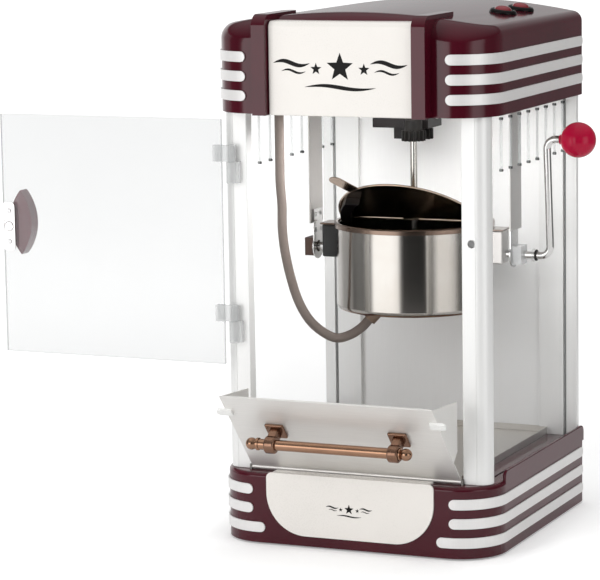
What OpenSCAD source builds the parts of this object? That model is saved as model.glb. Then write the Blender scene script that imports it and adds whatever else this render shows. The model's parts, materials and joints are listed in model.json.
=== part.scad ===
// Retro countertop popcorn maker: a glazed cabinet between a moulded base and a
// moulded canopy, with a tipping kettle, a swinging door and a tilt-out flap.
// Millimetres, +Z up, front towards -Y, origin under the middle of the cabinet.

/* [Body] */
// Width of the base and the canopy
body_w = 267; // [250:1:290]
// Distance from the origin to the front face
body_front = 134.5; // [128:0.5:142]
// Distance from the origin to the rear face
body_rear = 132; // [128:0.5:142]
// Radius of the two front corners
corner_r = 42; // [30:1:44]
// Radius of the two rear corners
rear_corner_r = 8; // [4:1:14]
// Wall of the two moulded shells
shell_t = 2.5; // [1.8:0.1:3.2]

/* [Base] */
// Height of the deck that the cabinet stands on
deck_z = 66; // [60:1:80]
// Radius of the deck's rounded edge
deck_edge_r = 4; // [2:0.5:6]
// Thickness of the rubber feet
foot_t = 3; // [2:0.5:5]
// Radius of the rubber feet
foot_r = 9; // [6:0.5:12]
// Height of the rails along the deck's two sides
rail_h = 9; // [5:0.5:12]
// Thickness of these rails
rail_t = 3; // [2.5:0.1:3]

/* [Canopy] */
// Height of the glazed space, deck to ceiling
cabinet_h = 328; // [300:1:350]
// Height of the canopy's crown above its lower edge
canopy_h = 90.2; // [84:0.1:100]
// Radius of the roof's arch
roof_r = 676; // [560:1:900]
// Radius of the canopy's rounded top edge
roof_edge_r = 12; // [8:0.5:16]

/* [Trim] */
// Height of one silver strip
strip_h = 9.3; // [7:0.1:11]
// Thickness of a strip
strip_t = 1.3; // [0.8:0.1:2]
// Spacing of the strips, centre to centre
strip_pitch = 17.4; // [14:0.1:20]
// Half width of the gap between the strips at the front
strip_gap = 95; // [85:1:105]

/* [Sign] */
// Half width of the sign panel
sign_half_w = 68.5; // [60:0.5:76]
// Distance that the sign panel stands out of the canopy
sign_out = 9; // [5:0.5:12]
// Width of each rib beside the sign
rib_w = 12.7; // [9:0.1:16]
// Distance that the ribs stand out of the canopy
rib_out = 15.5; // [12:0.5:18]

/* [Cabinet] */
// Set-back of the front posts behind the base's sides
front_post_inset = 6.5; // [6:0.1:9]
// Set-back of the rear posts behind the base's sides
rear_post_inset = 3.5; // [3.5:0.1:9]
// Width of a front post, seen from the front
post_w = 24.2; // [22:0.1:32]
// Depth of a front post, front to back
post_d = 14; // [13:0.1:20]
// Set-back of the posts' front face behind the base's front face
post_setback = 16.1; // [12:0.1:20]
// Thickness of the side windows
pane_t = 2.5; // [2:0.1:3]
// Thickness of the sheet-metal panels
sheet_t = 1.2; // [0.8:0.1:2]
// Number of ventilation slots in each side window
slot_count = 8; // [4:1:9]
// Spacing of the ventilation slots
slot_pitch = 24.5; // [20:0.1:25]
// Length of a ventilation slot
slot_len = 46; // [30:1:60]

/* [Kettle] */
// Outer radius of the kettle's skirt
kettle_r = 73.4; // [66:0.1:75]
// Height of the kettle, bottom cover to rim
kettle_h = 83; // [70:1:90]
// Height of the tilt axis above the deck
axis_rise = 186; // [170:1:195]
// Distance of the tilt axis behind the origin
axis_y = 30.8; // [24:0.1:32]
// Height of the tilt axis above the kettle's bottom
axis_in_kettle = 53.5; // [45:0.5:60]
// Angle at which the front lid stands open
lid_open = 35; // [0:1:60]
// Radius of the crank rod
rod_r = 3.5; // [2.5:0.1:4.5]
// Length of the crank arm, axis to knob
crank_len = 109; // [90:0.1:115]
// Forward lean of the crank arm
crank_lean = 5; // [0:1:20]
// Radius of the crank's ball knob
knob_r = 16.2; // [12:0.1:20]
// Half distance between the two hanging straps
strap_half = 100; // [98:0.5:104]
// Width of a hanging strap
strap_w = 30; // [20:1:36]

/* [Stirrer] */
// Radius of the stirrer shaft
stir_r = 3.3; // [2.5:0.1:4]
// Teeth on the stirrer's pinion and on the drive gear
teeth = 14; // [10:2:18]
// Radius of the tooth tips
gear_tip_r = 11.3; // [10:0.1:12]
// Depth of the teeth
tooth_h = 3; // [2:0.1:3.5]
// Face width of the gears
gear_w = 9.7; // [7:0.1:11]

/* [Door] */
// Width of the door pane
door_w = 226; // [215:0.5:230]
// Height of the door pane
door_h = 223; // [200:1:224]
// Height of the door's lower edge above the deck
door_rise = 97.5; // [97:0.5:104]
// Thickness of the door pane
door_t = 2.8; // [2:0.1:3]
// Radius of the hinge knuckles
knuckle_r = 4.7; // [4:0.1:5]
// Radius of the hinge pins
door_pin_r = 2; // [1.5:0.1:2.5]

/* [Flap] */
// Height of the tilt-out flap along its slope
flap_h = 104; // [90:0.5:106]
// Angle of the open flap from upright
flap_open = 42; // [20:1:45]
// Distance of the handle bar from the flap
handle_out = 17.5; // [10:0.5:20]
// Distance of the handle bar along the flap from its hinge
handle_at = 60; // [56:0.5:72]
// Radius of the handle bar
handle_r = 4.8; // [3.5:0.1:5.5]
// Distance of the right ball end from the middle
handle_half = 70; // [60:1:80]
// Distance of the left ball end from the middle
handle_left = 78; // [60:1:84]

/* [Hidden] */
$fn = 64;

fit = 0.08;                          // radial clearance of a running fit
gap = 0.3;                           // clearance between parts that pass each other
half_w = body_w / 2;
ceiling_z = deck_z + cabinet_h;
canopy_z = ceiling_z - 1.2;          // lower edge of the canopy
crown_z = canopy_z + canopy_h;
roof_z = crown_z - roof_r;           // centre of the roof's arch
edge_x = half_w - roof_edge_r;       // centre of the rounded top edge
edge_z = roof_z + sqrt(pow(roof_r - roof_edge_r, 2) - pow(edge_x, 2));
tangent_x = edge_x * roof_r / (roof_r - roof_edge_r);
base_z = 1.5;                        // lower edge of the base shell
rail_seat = 0.3;                     // clearance under the side rails
long = 1000;                         // longer than anything that is cut

front_half_w = half_w - front_post_inset;
post_half_w = half_w - rear_post_inset;
post_front_y = -body_front + post_setback;
post_in_x = front_half_w - post_w;
rear_post_y = body_rear - 3;         // rear face of the rear posts
rear_post_d = 10;
rear_post_w = 37.5;
pane_x = front_half_w - 9;           // mid-plane of the side windows
pane_slot = pane_t + 0.5;
pane_y0 = post_front_y + post_d - 8;
pane_y1 = rear_post_y - rear_post_d + 5;
slot_y1 = 114.6;                     // rearmost slot
slot_z = ceiling_z - 8 - slot_len;   // lower end of the slots
slot_w = 1.2;
slot_eye_r = 1.3;
window_hole_r = 6;

screw_r = 1.6;
screw_head_r = 3;
screw_seat = 8;
screw_len = 12;
screw_ys = [post_front_y + 8, rear_post_y - 6];
function screw_x(y) = y < 0 ? front_half_w - 13.1 : post_half_w - 22;

axis_z = deck_z + axis_rise;
kettle_z = axis_z - axis_in_kettle;
rim_z = kettle_z + kettle_h;
pot_t = 1.2;
pot_r = kettle_r - 2.4;
pot_floor_z = kettle_z + 16.5;
rim_r = kettle_r + 1.9;
cover_t = 1.5;
skirt_t = 0.8;
skirt_top = rim_z - 6;
block_out = kettle_r + 17.1;         // outer face of the insulating blocks
element_r = kettle_r - 27.4;
trunnion_r = 4;
bush_half = 8.5;
bush_len = 9.25;
bracket_t = 1.5;
bridge_t = 2;
bridge_w = 10;
lid_t = 1;
lid_r = kettle_r - 1;
lid_notch_r = 8;
clip_w = 10;
lid_tab_turn = -34;                  // heading of the lid's lift tab

gear_gap = 2 * gear_tip_r - tooth_h + 0.6;     // centre distance of the gears
drive_y = axis_y + gear_gap;
pinion_top = ceiling_z - 29.6;
pinion_z = pinion_top - gear_w;
hub_r = 8.3;
hub_h = 10;
drive_shaft_r = 3;
housing_z = pinion_top + 0.8;
housing_h = 9;
paddle_z = pot_floor_z + pot_t + 2.5;
paddle_h = 9;
paddle_half = pot_r - 10;

bend_r = 9;
crank_x = half_w + 0.5;
knob_x = crank_x + 30;
// Centre line of the crank arm, from inside the straight rod to inside the knob
crank_path = concat(
  [[crank_x - bend_r - 4, 0, 0]],
  [for (a = [0:15:90]) [crank_x - bend_r + bend_r * sin(a), 0, bend_r - bend_r * cos(a)]],
  [for (a = [0:15:90]) [crank_x + bend_r - bend_r * cos(a), 0, crank_len - bend_r + bend_r * sin(a)]],
  [[knob_x - 6, 0, crank_len]]);

door_axis_x = -post_half_w + 14.5;
door_axis_y = post_front_y - 5.9;
door_in_x = door_axis_x - 7.9;
door_out_x = door_in_x - door_w;
door_y0 = door_axis_y - 1.3 - door_t;
door_y1 = door_axis_y - 1.3;
door_z = deck_z + door_rise;
knuckle_zs = [door_z + 19.5, door_z + 165];
post_knuckle_h = 19.5;
door_knuckle_h = 14.8;
strike_x = front_half_w - 15;
catch_x = 2 * door_axis_x - strike_x;
catch_z = door_z + 118;
catch_w = 12.6;
catch_h = 45.6;
catch_t = 1.2;
catch_screw_gap = 14.4;

flap_y = post_front_y - 0.9;         // hinge axis of the flap
flap_z = deck_z + 2.6;
flap_half = post_in_x - 1.3;
flap_t = 1.2;
flap_pin_r = 1;
flap_barrel_r = 2.2;
tab_z = 83.5;                        // latch tabs, along the flap
tab_t = 2.6;
tab_r = 3.5;
tab_in = 7;
tab_out = 4.5;

button_x = half_w - 36.5;
button_ys = [8, 56];
button_tilt = asin(button_x / roof_r);
button_r = 8.4;
bezel_r = 12.5;
button_rise = 3.6;

inlet_x = 60;
inlet_z = canopy_z + 32;
inlet_w = 27;
inlet_h = 19;
inlet_d = 20;

lamp_x = 55;
lamp_y = -50;
lamp_r = 11;

lead_r = 4.4;
// Route of the kettle lead, ceiling gland to kettle
lead_route = [
  [-107, -36, 384], [-107, -36, 364], [-107, -36, 342], [-107, -36, 320], [-106, -35, 298],
  [-106, -35, 276], [-104, -34, 254], [-100, -31, 230], [-94, -28, 208], [-85, -24, 190],
  [-74, -18, 178], [-62, -13, 172], [-50, -8, 175], [-40, -4, 182], [-34, -1, 189]];
lead_end = lead_route[len(lead_route) - 1];
lead_heading = heading(lead_route, len(lead_route) - 1);
lead_plane = [-0.41, 0.91, 0];       // normal of the upright plane that the lead hangs in

// ---------- shared outlines ----------

// Plan of the base and the canopy, drawn inset by i (negative: outset)
module plan(i = 0) {
  x = half_w - i;
  y0 = -body_front + i;
  y1 = body_rear - i;
  rf = corner_r - i;
  rr = max(rear_corner_r - i, 1);
  for (s = [-1, 1]) {
    translate([s * (x - rf), y0 + rf]) circle(rf);
    translate([s * (x - rr), y1 - rr]) circle(rr);
  }
  translate([-x, y0 + rf]) square([2 * x, y1 - rr - y0 - rf]);
  translate([rf - x, y0]) square([2 * (x - rf), rf]);
  translate([rr - x, y1 - rr]) square([2 * (x - rr), rr]);
}

// Width and height of the canopy: straight sides, rounded shoulders and an arched roof
module canopy_profile(i = 0) {
  for (s = [-1, 1]) translate([s * edge_x, edge_z]) circle(roof_edge_r - i);
  translate([i - half_w, canopy_z - 1]) square([body_w - 2 * i, edge_z - canopy_z + 1]);
  intersection() {
    translate([0, roof_z]) circle(roof_r - i, $fn = 360);
    translate([-tangent_x, edge_z]) square([2 * tangent_x, long]);
  }
}

// Depth and height of a block with a rounded front top edge and rounded rear top edge
module depth_profile(y0, y1, z0, z1, rf, rr) {
  translate([y0 + rf, z1 - rf]) circle(rf);
  translate([y1 - rr, z1 - rr]) circle(rr);
  translate([y0 + rf, z0]) square([y1 - rr - y0 - rf, z1 - z0]);
  translate([y0, z0]) square([rf, z1 - rf - z0]);
  translate([y1 - rr, z0]) square([rr, z1 - rr - z0]);
}

function unit(v) = v / norm(v);
function heading(p, i) = unit(p[min(i + 1, len(p) - 1)] - p[max(i - 1, 0)]);
function ring(c, t, r, n, normal) =
  let (u = unit(cross(normal, t)), v = cross(t, u))
  [for (k = [0:n - 1]) c + r * (cos(360 * k / n) * u + sin(360 * k / n) * v)];

// Round tube along the points p, which lie near a plane with the given normal
module tube(p, r, n, normal) {
  last = len(p) - 1;
  sides = [for (i = [0:last - 1]) for (k = [0:n - 1])
    [i * n + k, (i + 1) * n + k, (i + 1) * n + (k + 1) % n, i * n + (k + 1) % n]];
  ends = [[for (k = [0:n - 1]) k], [for (k = [n - 1:-1:0]) last * n + k]];
  polyhedron([for (i = [0:last]) each ring(p[i], heading(p, i), r, n, normal)], concat(sides, ends));
}

module along_y(y0, y1) translate([0, y1, 0]) rotate([90, 0, 0]) linear_extrude(y1 - y0) children();
module along_x(x0, x1) translate([x0, 0, 0]) rotate([90, 0, 90]) linear_extrude(x1 - x0) children();
module x_cylinder(x0, x1, y, z, r) translate([x0, y, z]) rotate([0, 90, 0]) cylinder(h = x1 - x0, r = r);
module y_cylinder(y0, y1, x, z, r) translate([x, y1, z]) rotate([90, 0, 0]) cylinder(h = y1 - y0, r = r);
module block(a, b) translate(a) cube(b - a);
module mirrored() { children(); mirror([1, 0, 0]) children(); }

module canopy_block(i = 0) {
  intersection() {
    translate([0, 0, canopy_z]) linear_extrude(canopy_h + 1) plan(i);
    along_y(-body_front - 1, body_rear + 1) canopy_profile(i);
    along_x(-half_w - 1, half_w + 1)
      depth_profile(i - body_front, body_rear - i, canopy_z - 1, crown_z - i, 2 * roof_edge_r - i, roof_edge_r - i);
  }
}

module base_block(i = 0) {
  intersection() {
    translate([0, 0, base_z]) linear_extrude(deck_z - i - base_z) plan(i);
    along_y(-body_front - 1, body_rear + 1) {
      r = deck_edge_r - min(i, 1);
      for (s = [-1, 1]) translate([s * (half_w - i - r), deck_z - i - r]) circle(r);
      translate([i - half_w, 0]) square([body_w - 2 * i, deck_z - i - r]);
      translate([i + r - half_w, 0]) square([body_w - 2 * (i + r), deck_z - i]);
    }
    along_x(-half_w - 1, half_w + 1)
      depth_profile(i - body_front, body_rear - i, 0, deck_z - i, deck_edge_r - min(i, 1), deck_edge_r - min(i, 1));
  }
}

// One silver strip that wraps from the front round a corner to the rear of a side
module strip(z, tip) {
  difference() {
    intersection() {
      translate([0, 0, z - strip_h / 2]) linear_extrude(strip_h) plan(-strip_t);
      union() {
        block([tip + strip_h / 2, -body_front - 5, z - strip_h], [half_w + 5, body_rear - strip_h * 1.4, z + strip_h]);
        y_cylinder(-body_front - 5, 0, tip + strip_h / 2, z, strip_h / 2);
        x_cylinder(0, half_w + 5, body_rear - strip_h * 1.4, z, strip_h / 2);
      }
    }
    translate([0, 0, z - strip_h]) linear_extrude(2 * strip_h) plan(0);
  }
}

module strips(z, tips) mirrored() for (i = [0:2]) strip(z - i * strip_pitch, tips[i]);

// ---------- base ----------

module base_shell() color("#4a1320") {
  difference() {
    base_block();
    difference() {
      base_block(shell_t);
      for (s = [-1, 1]) for (y = screw_ys) translate([s * screw_x(y), y, deck_z - 14]) cylinder(h = 14, r = 5);
    }
    translate([0, 0, base_z - 1]) linear_extrude(2) plan(shell_t);
    for (s = [-1, 1]) for (y = screw_ys) translate([s * screw_x(y), y, 0]) {
      cylinder(h = deck_z + 1, r = screw_r);
      cylinder(h = deck_z - screw_seat, r = screw_head_r);
    }
  }
  mirrored() side_rail();
}

// The rail seats on the deck's rounded edge and follows the base's outline
module side_rail() difference() {
  intersection() {
    translate([0, 0, deck_z - deck_edge_r]) linear_extrude(rail_h + deck_edge_r) plan();
    along_x(half_w - rail_t, half_w)
      depth_profile(corner_r - body_front, body_rear, deck_z - deck_edge_r, deck_z + rail_h, 6, 6);
  }
  base_block(-rail_seat);
}

module base_plate() color("#303030") difference() {
  translate([0, 0, foot_t]) linear_extrude(sheet_t) plan(shell_t + gap);
  for (s = [-1, 1]) for (y = screw_ys) translate([s * screw_x(y), y, 0]) cylinder(h = 10, r = screw_head_r + 2);
  for (x = [-60:12:60]) block([x - 2, 10, 0], [x + 2, 60, 10]);
}

module rubber_feet() color("#1c1c1c") for (x = [-96, 96]) for (y = [-98, 96]) translate([x, y, 0]) cylinder(h = foot_t, r = foot_r);

module base_trim() color("#d8d8d6") strips(50.7, [strip_gap, strip_gap, strip_gap - 11.6]);

module base_front_panel() color("#f3f0ea") {
  half = 81;
  foot_z = 11;
  r = 38;
  top = deck_z + 1.6;
  along_y(-body_front - 1.8, -body_front) {
    intersection() {
      translate([-half, foot_z]) square([2 * half, r]);
      union() {
        for (s = [-1, 1]) translate([s * (half - r), foot_z + r]) circle(r);
        translate([r - half, foot_z]) square([2 * (half - r), r]);
      }
    }
    translate([-half, foot_z + r]) square([2 * half, top - 5 - foot_z - r]);
    translate([5 - half, top - 5]) square([2 * (half - 5), 5]);
    for (s = [-1, 1]) translate([s * (half - 5), top - 5]) circle(5);
  }
  difference() {
    block([5 - half, -body_front - 1.8, deck_z - 5], [half - 5, post_front_y - 4, top]);
    base_block();
  }
}

module cabinet_floor() color("#c9c6c0") difference() {
  x = post_in_x - 2.5;
  y0 = post_front_y + 3;
  y1 = pane_y1 - 1.5;
  post_x = post_half_w - rear_post_w - gap;
  post_y = rear_post_y - rear_post_d - gap;
  block([-x, y0, deck_z], [x, y1, deck_z + 7]);
  block([-x + sheet_t, y0 - 1, deck_z + sheet_t], [x - sheet_t, post_y - sheet_t, deck_z + 8]);
  block([sheet_t - post_x, 0, deck_z + sheet_t], [post_x - sheet_t, y1 - sheet_t, deck_z + 8]);
  mirrored() block([post_x, post_y, deck_z - 1], [x + 1, y1 + 1, deck_z + 8]);
}

// ---------- cabinet ----------

module front_post_plan() difference() {
  intersection() {
    translate([post_in_x, post_front_y]) square([post_w, post_d]);
    union() {
      translate([front_half_w - 12, post_front_y + 12]) circle(12);
      translate([post_in_x, post_front_y]) square([post_w - 12, 12]);
      translate([front_half_w - 16.4, post_front_y + 12]) square([16.4, post_d - 12]);
    }
  }
  translate([pane_x - pane_slot / 2, pane_y0 - 0.3]) square([pane_slot, post_d]);
  translate([post_in_x + 3, post_front_y + 2]) square([5.5, 8]);
}

module front_posts() color("#e4e4e2") mirrored() difference() {
  translate([0, 0, deck_z]) linear_extrude(cabinet_h) front_post_plan();
  translate([screw_x(screw_ys[0]), screw_ys[0], 0]) cylinder(h = deck_z + screw_len, r = screw_r);
  translate([screw_x(screw_ys[0]), screw_ys[0], ceiling_z - screw_len]) cylinder(h = long, r = screw_r);
  y_cylinder(post_front_y - 1, post_front_y + 1.5, strike_x, catch_z, 4);
}

module rear_posts() color("#e4e4e2") mirrored() difference() {
  y0 = rear_post_y - rear_post_d;
  translate([0, 0, deck_z]) linear_extrude(cabinet_h) difference() {
    union() {
      translate([post_half_w - rear_post_w, y0]) square([rear_post_w - 5, rear_post_d]);
      translate([post_half_w - 5, y0]) square([5, rear_post_d - 5]);
      translate([post_half_w - 5, rear_post_y - 5]) circle(5);
    }
    translate([pane_x - pane_slot / 2, y0 - 1]) square([pane_slot, pane_y1 + 0.3 - y0 + 1]);
    translate([0, pane_y1 - 0.2]) square([post_half_w - rear_post_w + 8.3, sheet_t + 0.4]);
  }
  translate([screw_x(screw_ys[1]), screw_ys[1], 0]) cylinder(h = deck_z + screw_len, r = screw_r);
  translate([screw_x(screw_ys[1]), screw_ys[1], ceiling_z - screw_len]) cylinder(h = long, r = screw_r);
}

module window_pane() difference() {
  block([pane_x - pane_t / 2, pane_y0, deck_z], [pane_x + pane_t / 2, pane_y1, ceiling_z]);
  for (i = [0:slot_count - 1]) {
    y = slot_y1 - i * slot_pitch;
    block([pane_x - 5, y - slot_w / 2, slot_z], [pane_x + 5, y + slot_w / 2, slot_z + slot_len]);
    for (z = [slot_z, slot_z + slot_len]) x_cylinder(pane_x - 5, pane_x + 5, y, z, slot_eye_r);
  }
}

module window_left() color("#dfe6e6", 0.35) mirror([1, 0, 0]) window_pane();

module window_right() color("#dfe6e6", 0.35) difference() {
  window_pane();
  x_cylinder(pane_x - 5, pane_x + 5, axis_y, axis_z, window_hole_r);
}

module rear_panel() color("#d9dad9") {
  x = post_half_w - rear_post_w + 8;
  block([-x, pane_y1, deck_z], [x, pane_y1 + sheet_t, ceiling_z]);
}

module frame_screw() {
  cylinder(h = screw_len + screw_seat, r = screw_r);
  translate([0, 0, -2]) cylinder(h = 2, r = screw_head_r - 0.2);
}

module frame_screws() color("#b8b8b8") for (s = [-1, 1]) for (y = screw_ys) {
  translate([s * screw_x(y), y, deck_z - screw_seat]) frame_screw();
  translate([s * screw_x(y), y, ceiling_z + sheet_t]) mirror([0, 0, 1]) {
    cylinder(h = screw_len + sheet_t, r = screw_r);
    translate([0, 0, -2]) cylinder(h = 2, r = screw_head_r - 0.2);
  }
}

// ---------- canopy ----------

module at_button(y) translate([button_x, y, roof_z + sqrt(pow(roof_r, 2) - pow(button_x, 2))]) rotate([0, button_tilt, 0]) children();

module canopy_shell() color("#4a1320") difference() {
  canopy_block();
  canopy_block(shell_t);
  translate([0, 0, canopy_z - 1]) linear_extrude(3) plan(shell_t);
  for (y = button_ys) at_button(y) cylinder(h = 12, r = bezel_r - 2, center = true);
  block([inlet_x - inlet_w / 2, body_rear - 10, inlet_z - inlet_h / 2], [inlet_x + inlet_w / 2, body_rear + 5, inlet_z + inlet_h / 2]);
}

module ceiling_plate() color("#bdbab4") difference() {
  translate([0, 0, ceiling_z]) linear_extrude(sheet_t) plan(shell_t + gap);
  for (s = [-1, 1]) for (y = screw_ys) translate([s * screw_x(y), y, 0]) cylinder(h = long, r = screw_r);
  translate([0, drive_y, 0]) cylinder(h = long, r = drive_shaft_r + 2);
  translate([lamp_x, lamp_y, 0]) cylinder(h = long, r = lamp_r + 2);
  translate([lead_route[0][0], lead_route[0][1], 0]) cylinder(h = long, r = lead_r);
}

module sign_panel() color("#f3f0ea") along_x(-sign_half_w, sign_half_w) difference() {
  depth_profile(-body_front - sign_out, -body_front + 16, canopy_z, crown_z - 7, 6, 1);
  depth_profile(-body_front, body_rear, canopy_z - 1, crown_z, 2 * roof_edge_r, roof_edge_r);
}

module sign_ribs() color("#4a1320") mirrored() difference() {
  x0 = sign_half_w + 0.8;
  end_y = -80;
  intersection() {
    along_x(x0, x0 + rib_w) depth_profile(-body_front - rib_out, long, canopy_z, crown_z - 1.2, 12, 1);
    union() {
      block([x0, -body_front - rib_out, canopy_z], [x0 + rib_w, end_y, crown_z]);
      translate([x0 + rib_w / 2, end_y, canopy_z]) cylinder(h = long, r = rib_w / 2);
    }
  }
  canopy_block();
  translate([0, 0, -long + canopy_z + 20]) linear_extrude(long) plan(0);
}

module canopy_trim() color("#d8d8d6") strips(canopy_z + 50.6, [strip_gap, strip_gap, strip_gap]);

module power_inlet() color("#202020") difference() {
  union() {
    block([inlet_x - inlet_w / 2 + gap, body_rear - inlet_d, inlet_z - inlet_h / 2 + gap],
      [inlet_x + inlet_w / 2 - gap, body_rear, inlet_z + inlet_h / 2 - gap]);
    block([inlet_x - inlet_w / 2 - 2, body_rear, inlet_z - inlet_h / 2 - 2], [inlet_x + inlet_w / 2 + 2, body_rear + 1.5, inlet_z + inlet_h / 2 + 2]);
  }
  difference() {
    block([inlet_x - 11, body_rear - inlet_d + 3, inlet_z - 7], [inlet_x + 11, body_rear + 2, inlet_z + 7]);
    for (x = [-6, 6]) block([inlet_x + x - 1, body_rear - inlet_d, inlet_z - 2], [inlet_x + x + 1, body_rear - 4, inlet_z + 2]);
  }
}

module switch_bezels() color("#161616") for (y = button_ys) at_button(y) {
  difference() {
    union() {
      cylinder(h = 2.2, r1 = bezel_r, r2 = bezel_r - 1.5);
      translate([0, 0, -16]) cylinder(h = 17, r = bezel_r - 2.3);
    }
    translate([0, 0, -12]) cylinder(h = 20, r = button_r + gap);
  }
}

module push_button(y) at_button(y) {
  translate([0, 0, -7]) cylinder(h = 7 + button_rise - 1.6, r = button_r);
  translate([0, 0, button_rise - 1.6]) cylinder(h = 1.6, r1 = button_r, r2 = button_r - 2.4);
}
module button_light() color("#7a1020") push_button(button_ys[0]);
module button_motor() color("#7a1020") push_button(button_ys[1]);

// ---------- drive and lamp ----------

module motor() color("#8f9296") difference() {
  translate([0, drive_y, ceiling_z + sheet_t]) {
    cylinder(h = 38, r = 26);
    translate([0, 0, 38]) cylinder(h = 4, r = 8);
    block([-36, -8, 0], [36, 8, 3]);
  }
  translate([0, drive_y, 0]) cylinder(h = ceiling_z + sheet_t + 12, r = drive_shaft_r + fit);
}

module gear_housing() color("#1b1b1b") difference() {
  union() {
    block([-45, axis_y + hub_r + 1, housing_z], [11, drive_y + 25, housing_z + housing_h]);
    block([-38, axis_y + hub_r + 6, housing_z + housing_h], [9, drive_y + 20, ceiling_z]);
    block([-25, axis_y + 13, pinion_z], [-gear_tip_r - 2, drive_y - 2, housing_z]);
  }
  translate([0, drive_y, 0]) cylinder(h = long, r = drive_shaft_r + fit);
}

function gear_outline(phase) = [
  for (i = [0:teeth - 1]) for (k = [0:3])
    let (a = phase + 360 / teeth * (i + [-0.25, -0.11, 0.11, 0.25][k]),
         r = gear_tip_r - ((k == 0 || k == 3) ? tooth_h : 0))
    [r * cos(a), r * sin(a)]];

module drive_gear() color("#26221f") translate([0, drive_y, pinion_z]) {
  linear_extrude(gear_w) polygon(gear_outline(-90 + 180 / teeth));
  cylinder(h = ceiling_z + sheet_t + 10 - pinion_z, r = drive_shaft_r);
}

module lamp_holder() color("#e8e4da") difference() {
  translate([lamp_x, lamp_y, ceiling_z + sheet_t]) {
    cylinder(h = 26, r = lamp_r + 4);
    translate([0, 0, 26]) cylinder(h = 6, r = 8);
  }
  translate([lamp_x, lamp_y, 0]) cylinder(h = ceiling_z + sheet_t + 24, r = lamp_r + 0.6);
}

module lamp() color("#f6efd8") translate([lamp_x, lamp_y, ceiling_z + sheet_t + 24]) rotate([180, 0, 0]) {
  cylinder(h = 12, r = 6.5);
  translate([0, 0, 12]) cylinder(h = 12, r1 = 6.5, r2 = lamp_r);
  translate([0, 0, 24]) intersection() {
    sphere(lamp_r);
    cylinder(h = 20, r = lamp_r + 1);
  }
}

// ---------- kettle suspension ----------

module kettle_straps() color("#a9a49f") mirrored() {
  translate([strap_half - 0.75, axis_y - strap_w / 2, axis_z + 23]) cube([1.5, strap_w, ceiling_z - axis_z - 23]);
  translate([strap_half - 12, axis_y - strap_w / 2, ceiling_z - 1.5]) cube([12, strap_w, 1.5]);
}

module pivot_brackets() color("#dedede") mirrored() difference() {
  x = strap_half - 0.75 - bracket_t;
  union() {
    block([x, axis_y - 10, axis_z], [x + bracket_t, axis_y + 10, axis_z + 36]);
    x_cylinder(x, x + bracket_t, axis_y, axis_z, 12);
  }
  x_cylinder(x - 1, x + 3, axis_y, axis_z, trunnion_r + 1.5);
}

module pivot_bush(bore_r) difference() {
  x = strap_half - 0.75;
  block([x, axis_y - bush_half, axis_z - bush_half], [x + bush_len, axis_y + bush_half, axis_z + bush_half]);
  x_cylinder(x - 1, x + bush_len + 1, axis_y, axis_z, bore_r + fit);
}

module pivot_bushes() color("#4a3226") {
  pivot_bush(rod_r);
  mirror([1, 0, 0]) pivot_bush(trunnion_r);
}

module lead_gland() color("#3a3532") difference() {
  translate([lead_route[0][0], lead_route[0][1], lead_route[0][2]]) {
    cylinder(h = ceiling_z - lead_route[0][2], r1 = lead_r + 1.2, r2 = lead_r + 3.6);
    translate([0, 0, ceiling_z - lead_route[0][2]]) cylinder(h = sheet_t, r = lead_r);
    translate([0, 0, ceiling_z - lead_route[0][2] + sheet_t]) cylinder(h = 3, r = lead_r + 3.6);
  }
}

// ---------- door hinges ----------

module door_pin_line(z0, z1, r) translate([door_axis_x, door_axis_y, z0]) cylinder(h = z1 - z0, r = r);

module post_knuckles() color("#eceff0", 0.6) for (z = knuckle_zs) {
  door_pin_line(z, z + post_knuckle_h, knuckle_r);
  block([door_axis_x - knuckle_r, door_axis_y, z], [door_axis_x + knuckle_r + 2.4, post_front_y, z + post_knuckle_h]);
  door_pin_line(z, z + post_knuckle_h + gap + door_knuckle_h - 2, door_pin_r);
}

module door_knuckles() color("#eceff0", 0.6) difference() {
  for (k = knuckle_zs) {
    z = k + post_knuckle_h + gap;
    door_pin_line(z, z + door_knuckle_h, knuckle_r);
    block([door_in_x - 8, door_y0 - 1.2, z], [door_axis_x, door_y1 + 1.2, z + door_knuckle_h]);
  }
  for (k = knuckle_zs) door_pin_line(k - 1, k + post_knuckle_h + door_knuckle_h - 1, door_pin_r + fit);
  block([door_in_x - 20, door_y0, 0], [door_in_x, door_y1, long]);
}

module door_strike() color("#9a9a9a") y_cylinder(post_front_y, post_front_y + 1.5, strike_x, catch_z, 4);

// ---------- door ----------

module door_panel() color("#eef2f2", 0.3) difference() {
  block([door_out_x, door_y0, door_z], [door_in_x, door_y1, door_z + door_h]);
  for (s = [-1, 1]) y_cylinder(door_y0 - 1, door_y1 + 1, catch_x, catch_z + s * catch_screw_gap, 1.5);
}

module door_handle() color("#5c1424") difference() {
  intersection() {
    translate([catch_x + 10.5, door_y1, catch_z + 3.5]) rotate([-90, 0, 0]) cylinder(h = 13, r = 30.2, $fn = 96);
    translate([catch_x + 10.5 - 35, door_y1, catch_z + 3.5]) rotate([-90, 0, 0]) cylinder(h = 13, r = 46.2, $fn = 96);
    translate([catch_x + 10.5 + 35, door_y1, catch_z + 3.5]) rotate([-90, 0, 0]) cylinder(h = 13, r = 46.2, $fn = 96);
  }
  for (s = [-1, 1]) y_cylinder(door_y1 - 1, door_y1 + 6, catch_x, catch_z + s * catch_screw_gap, 1.5);
}

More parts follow.
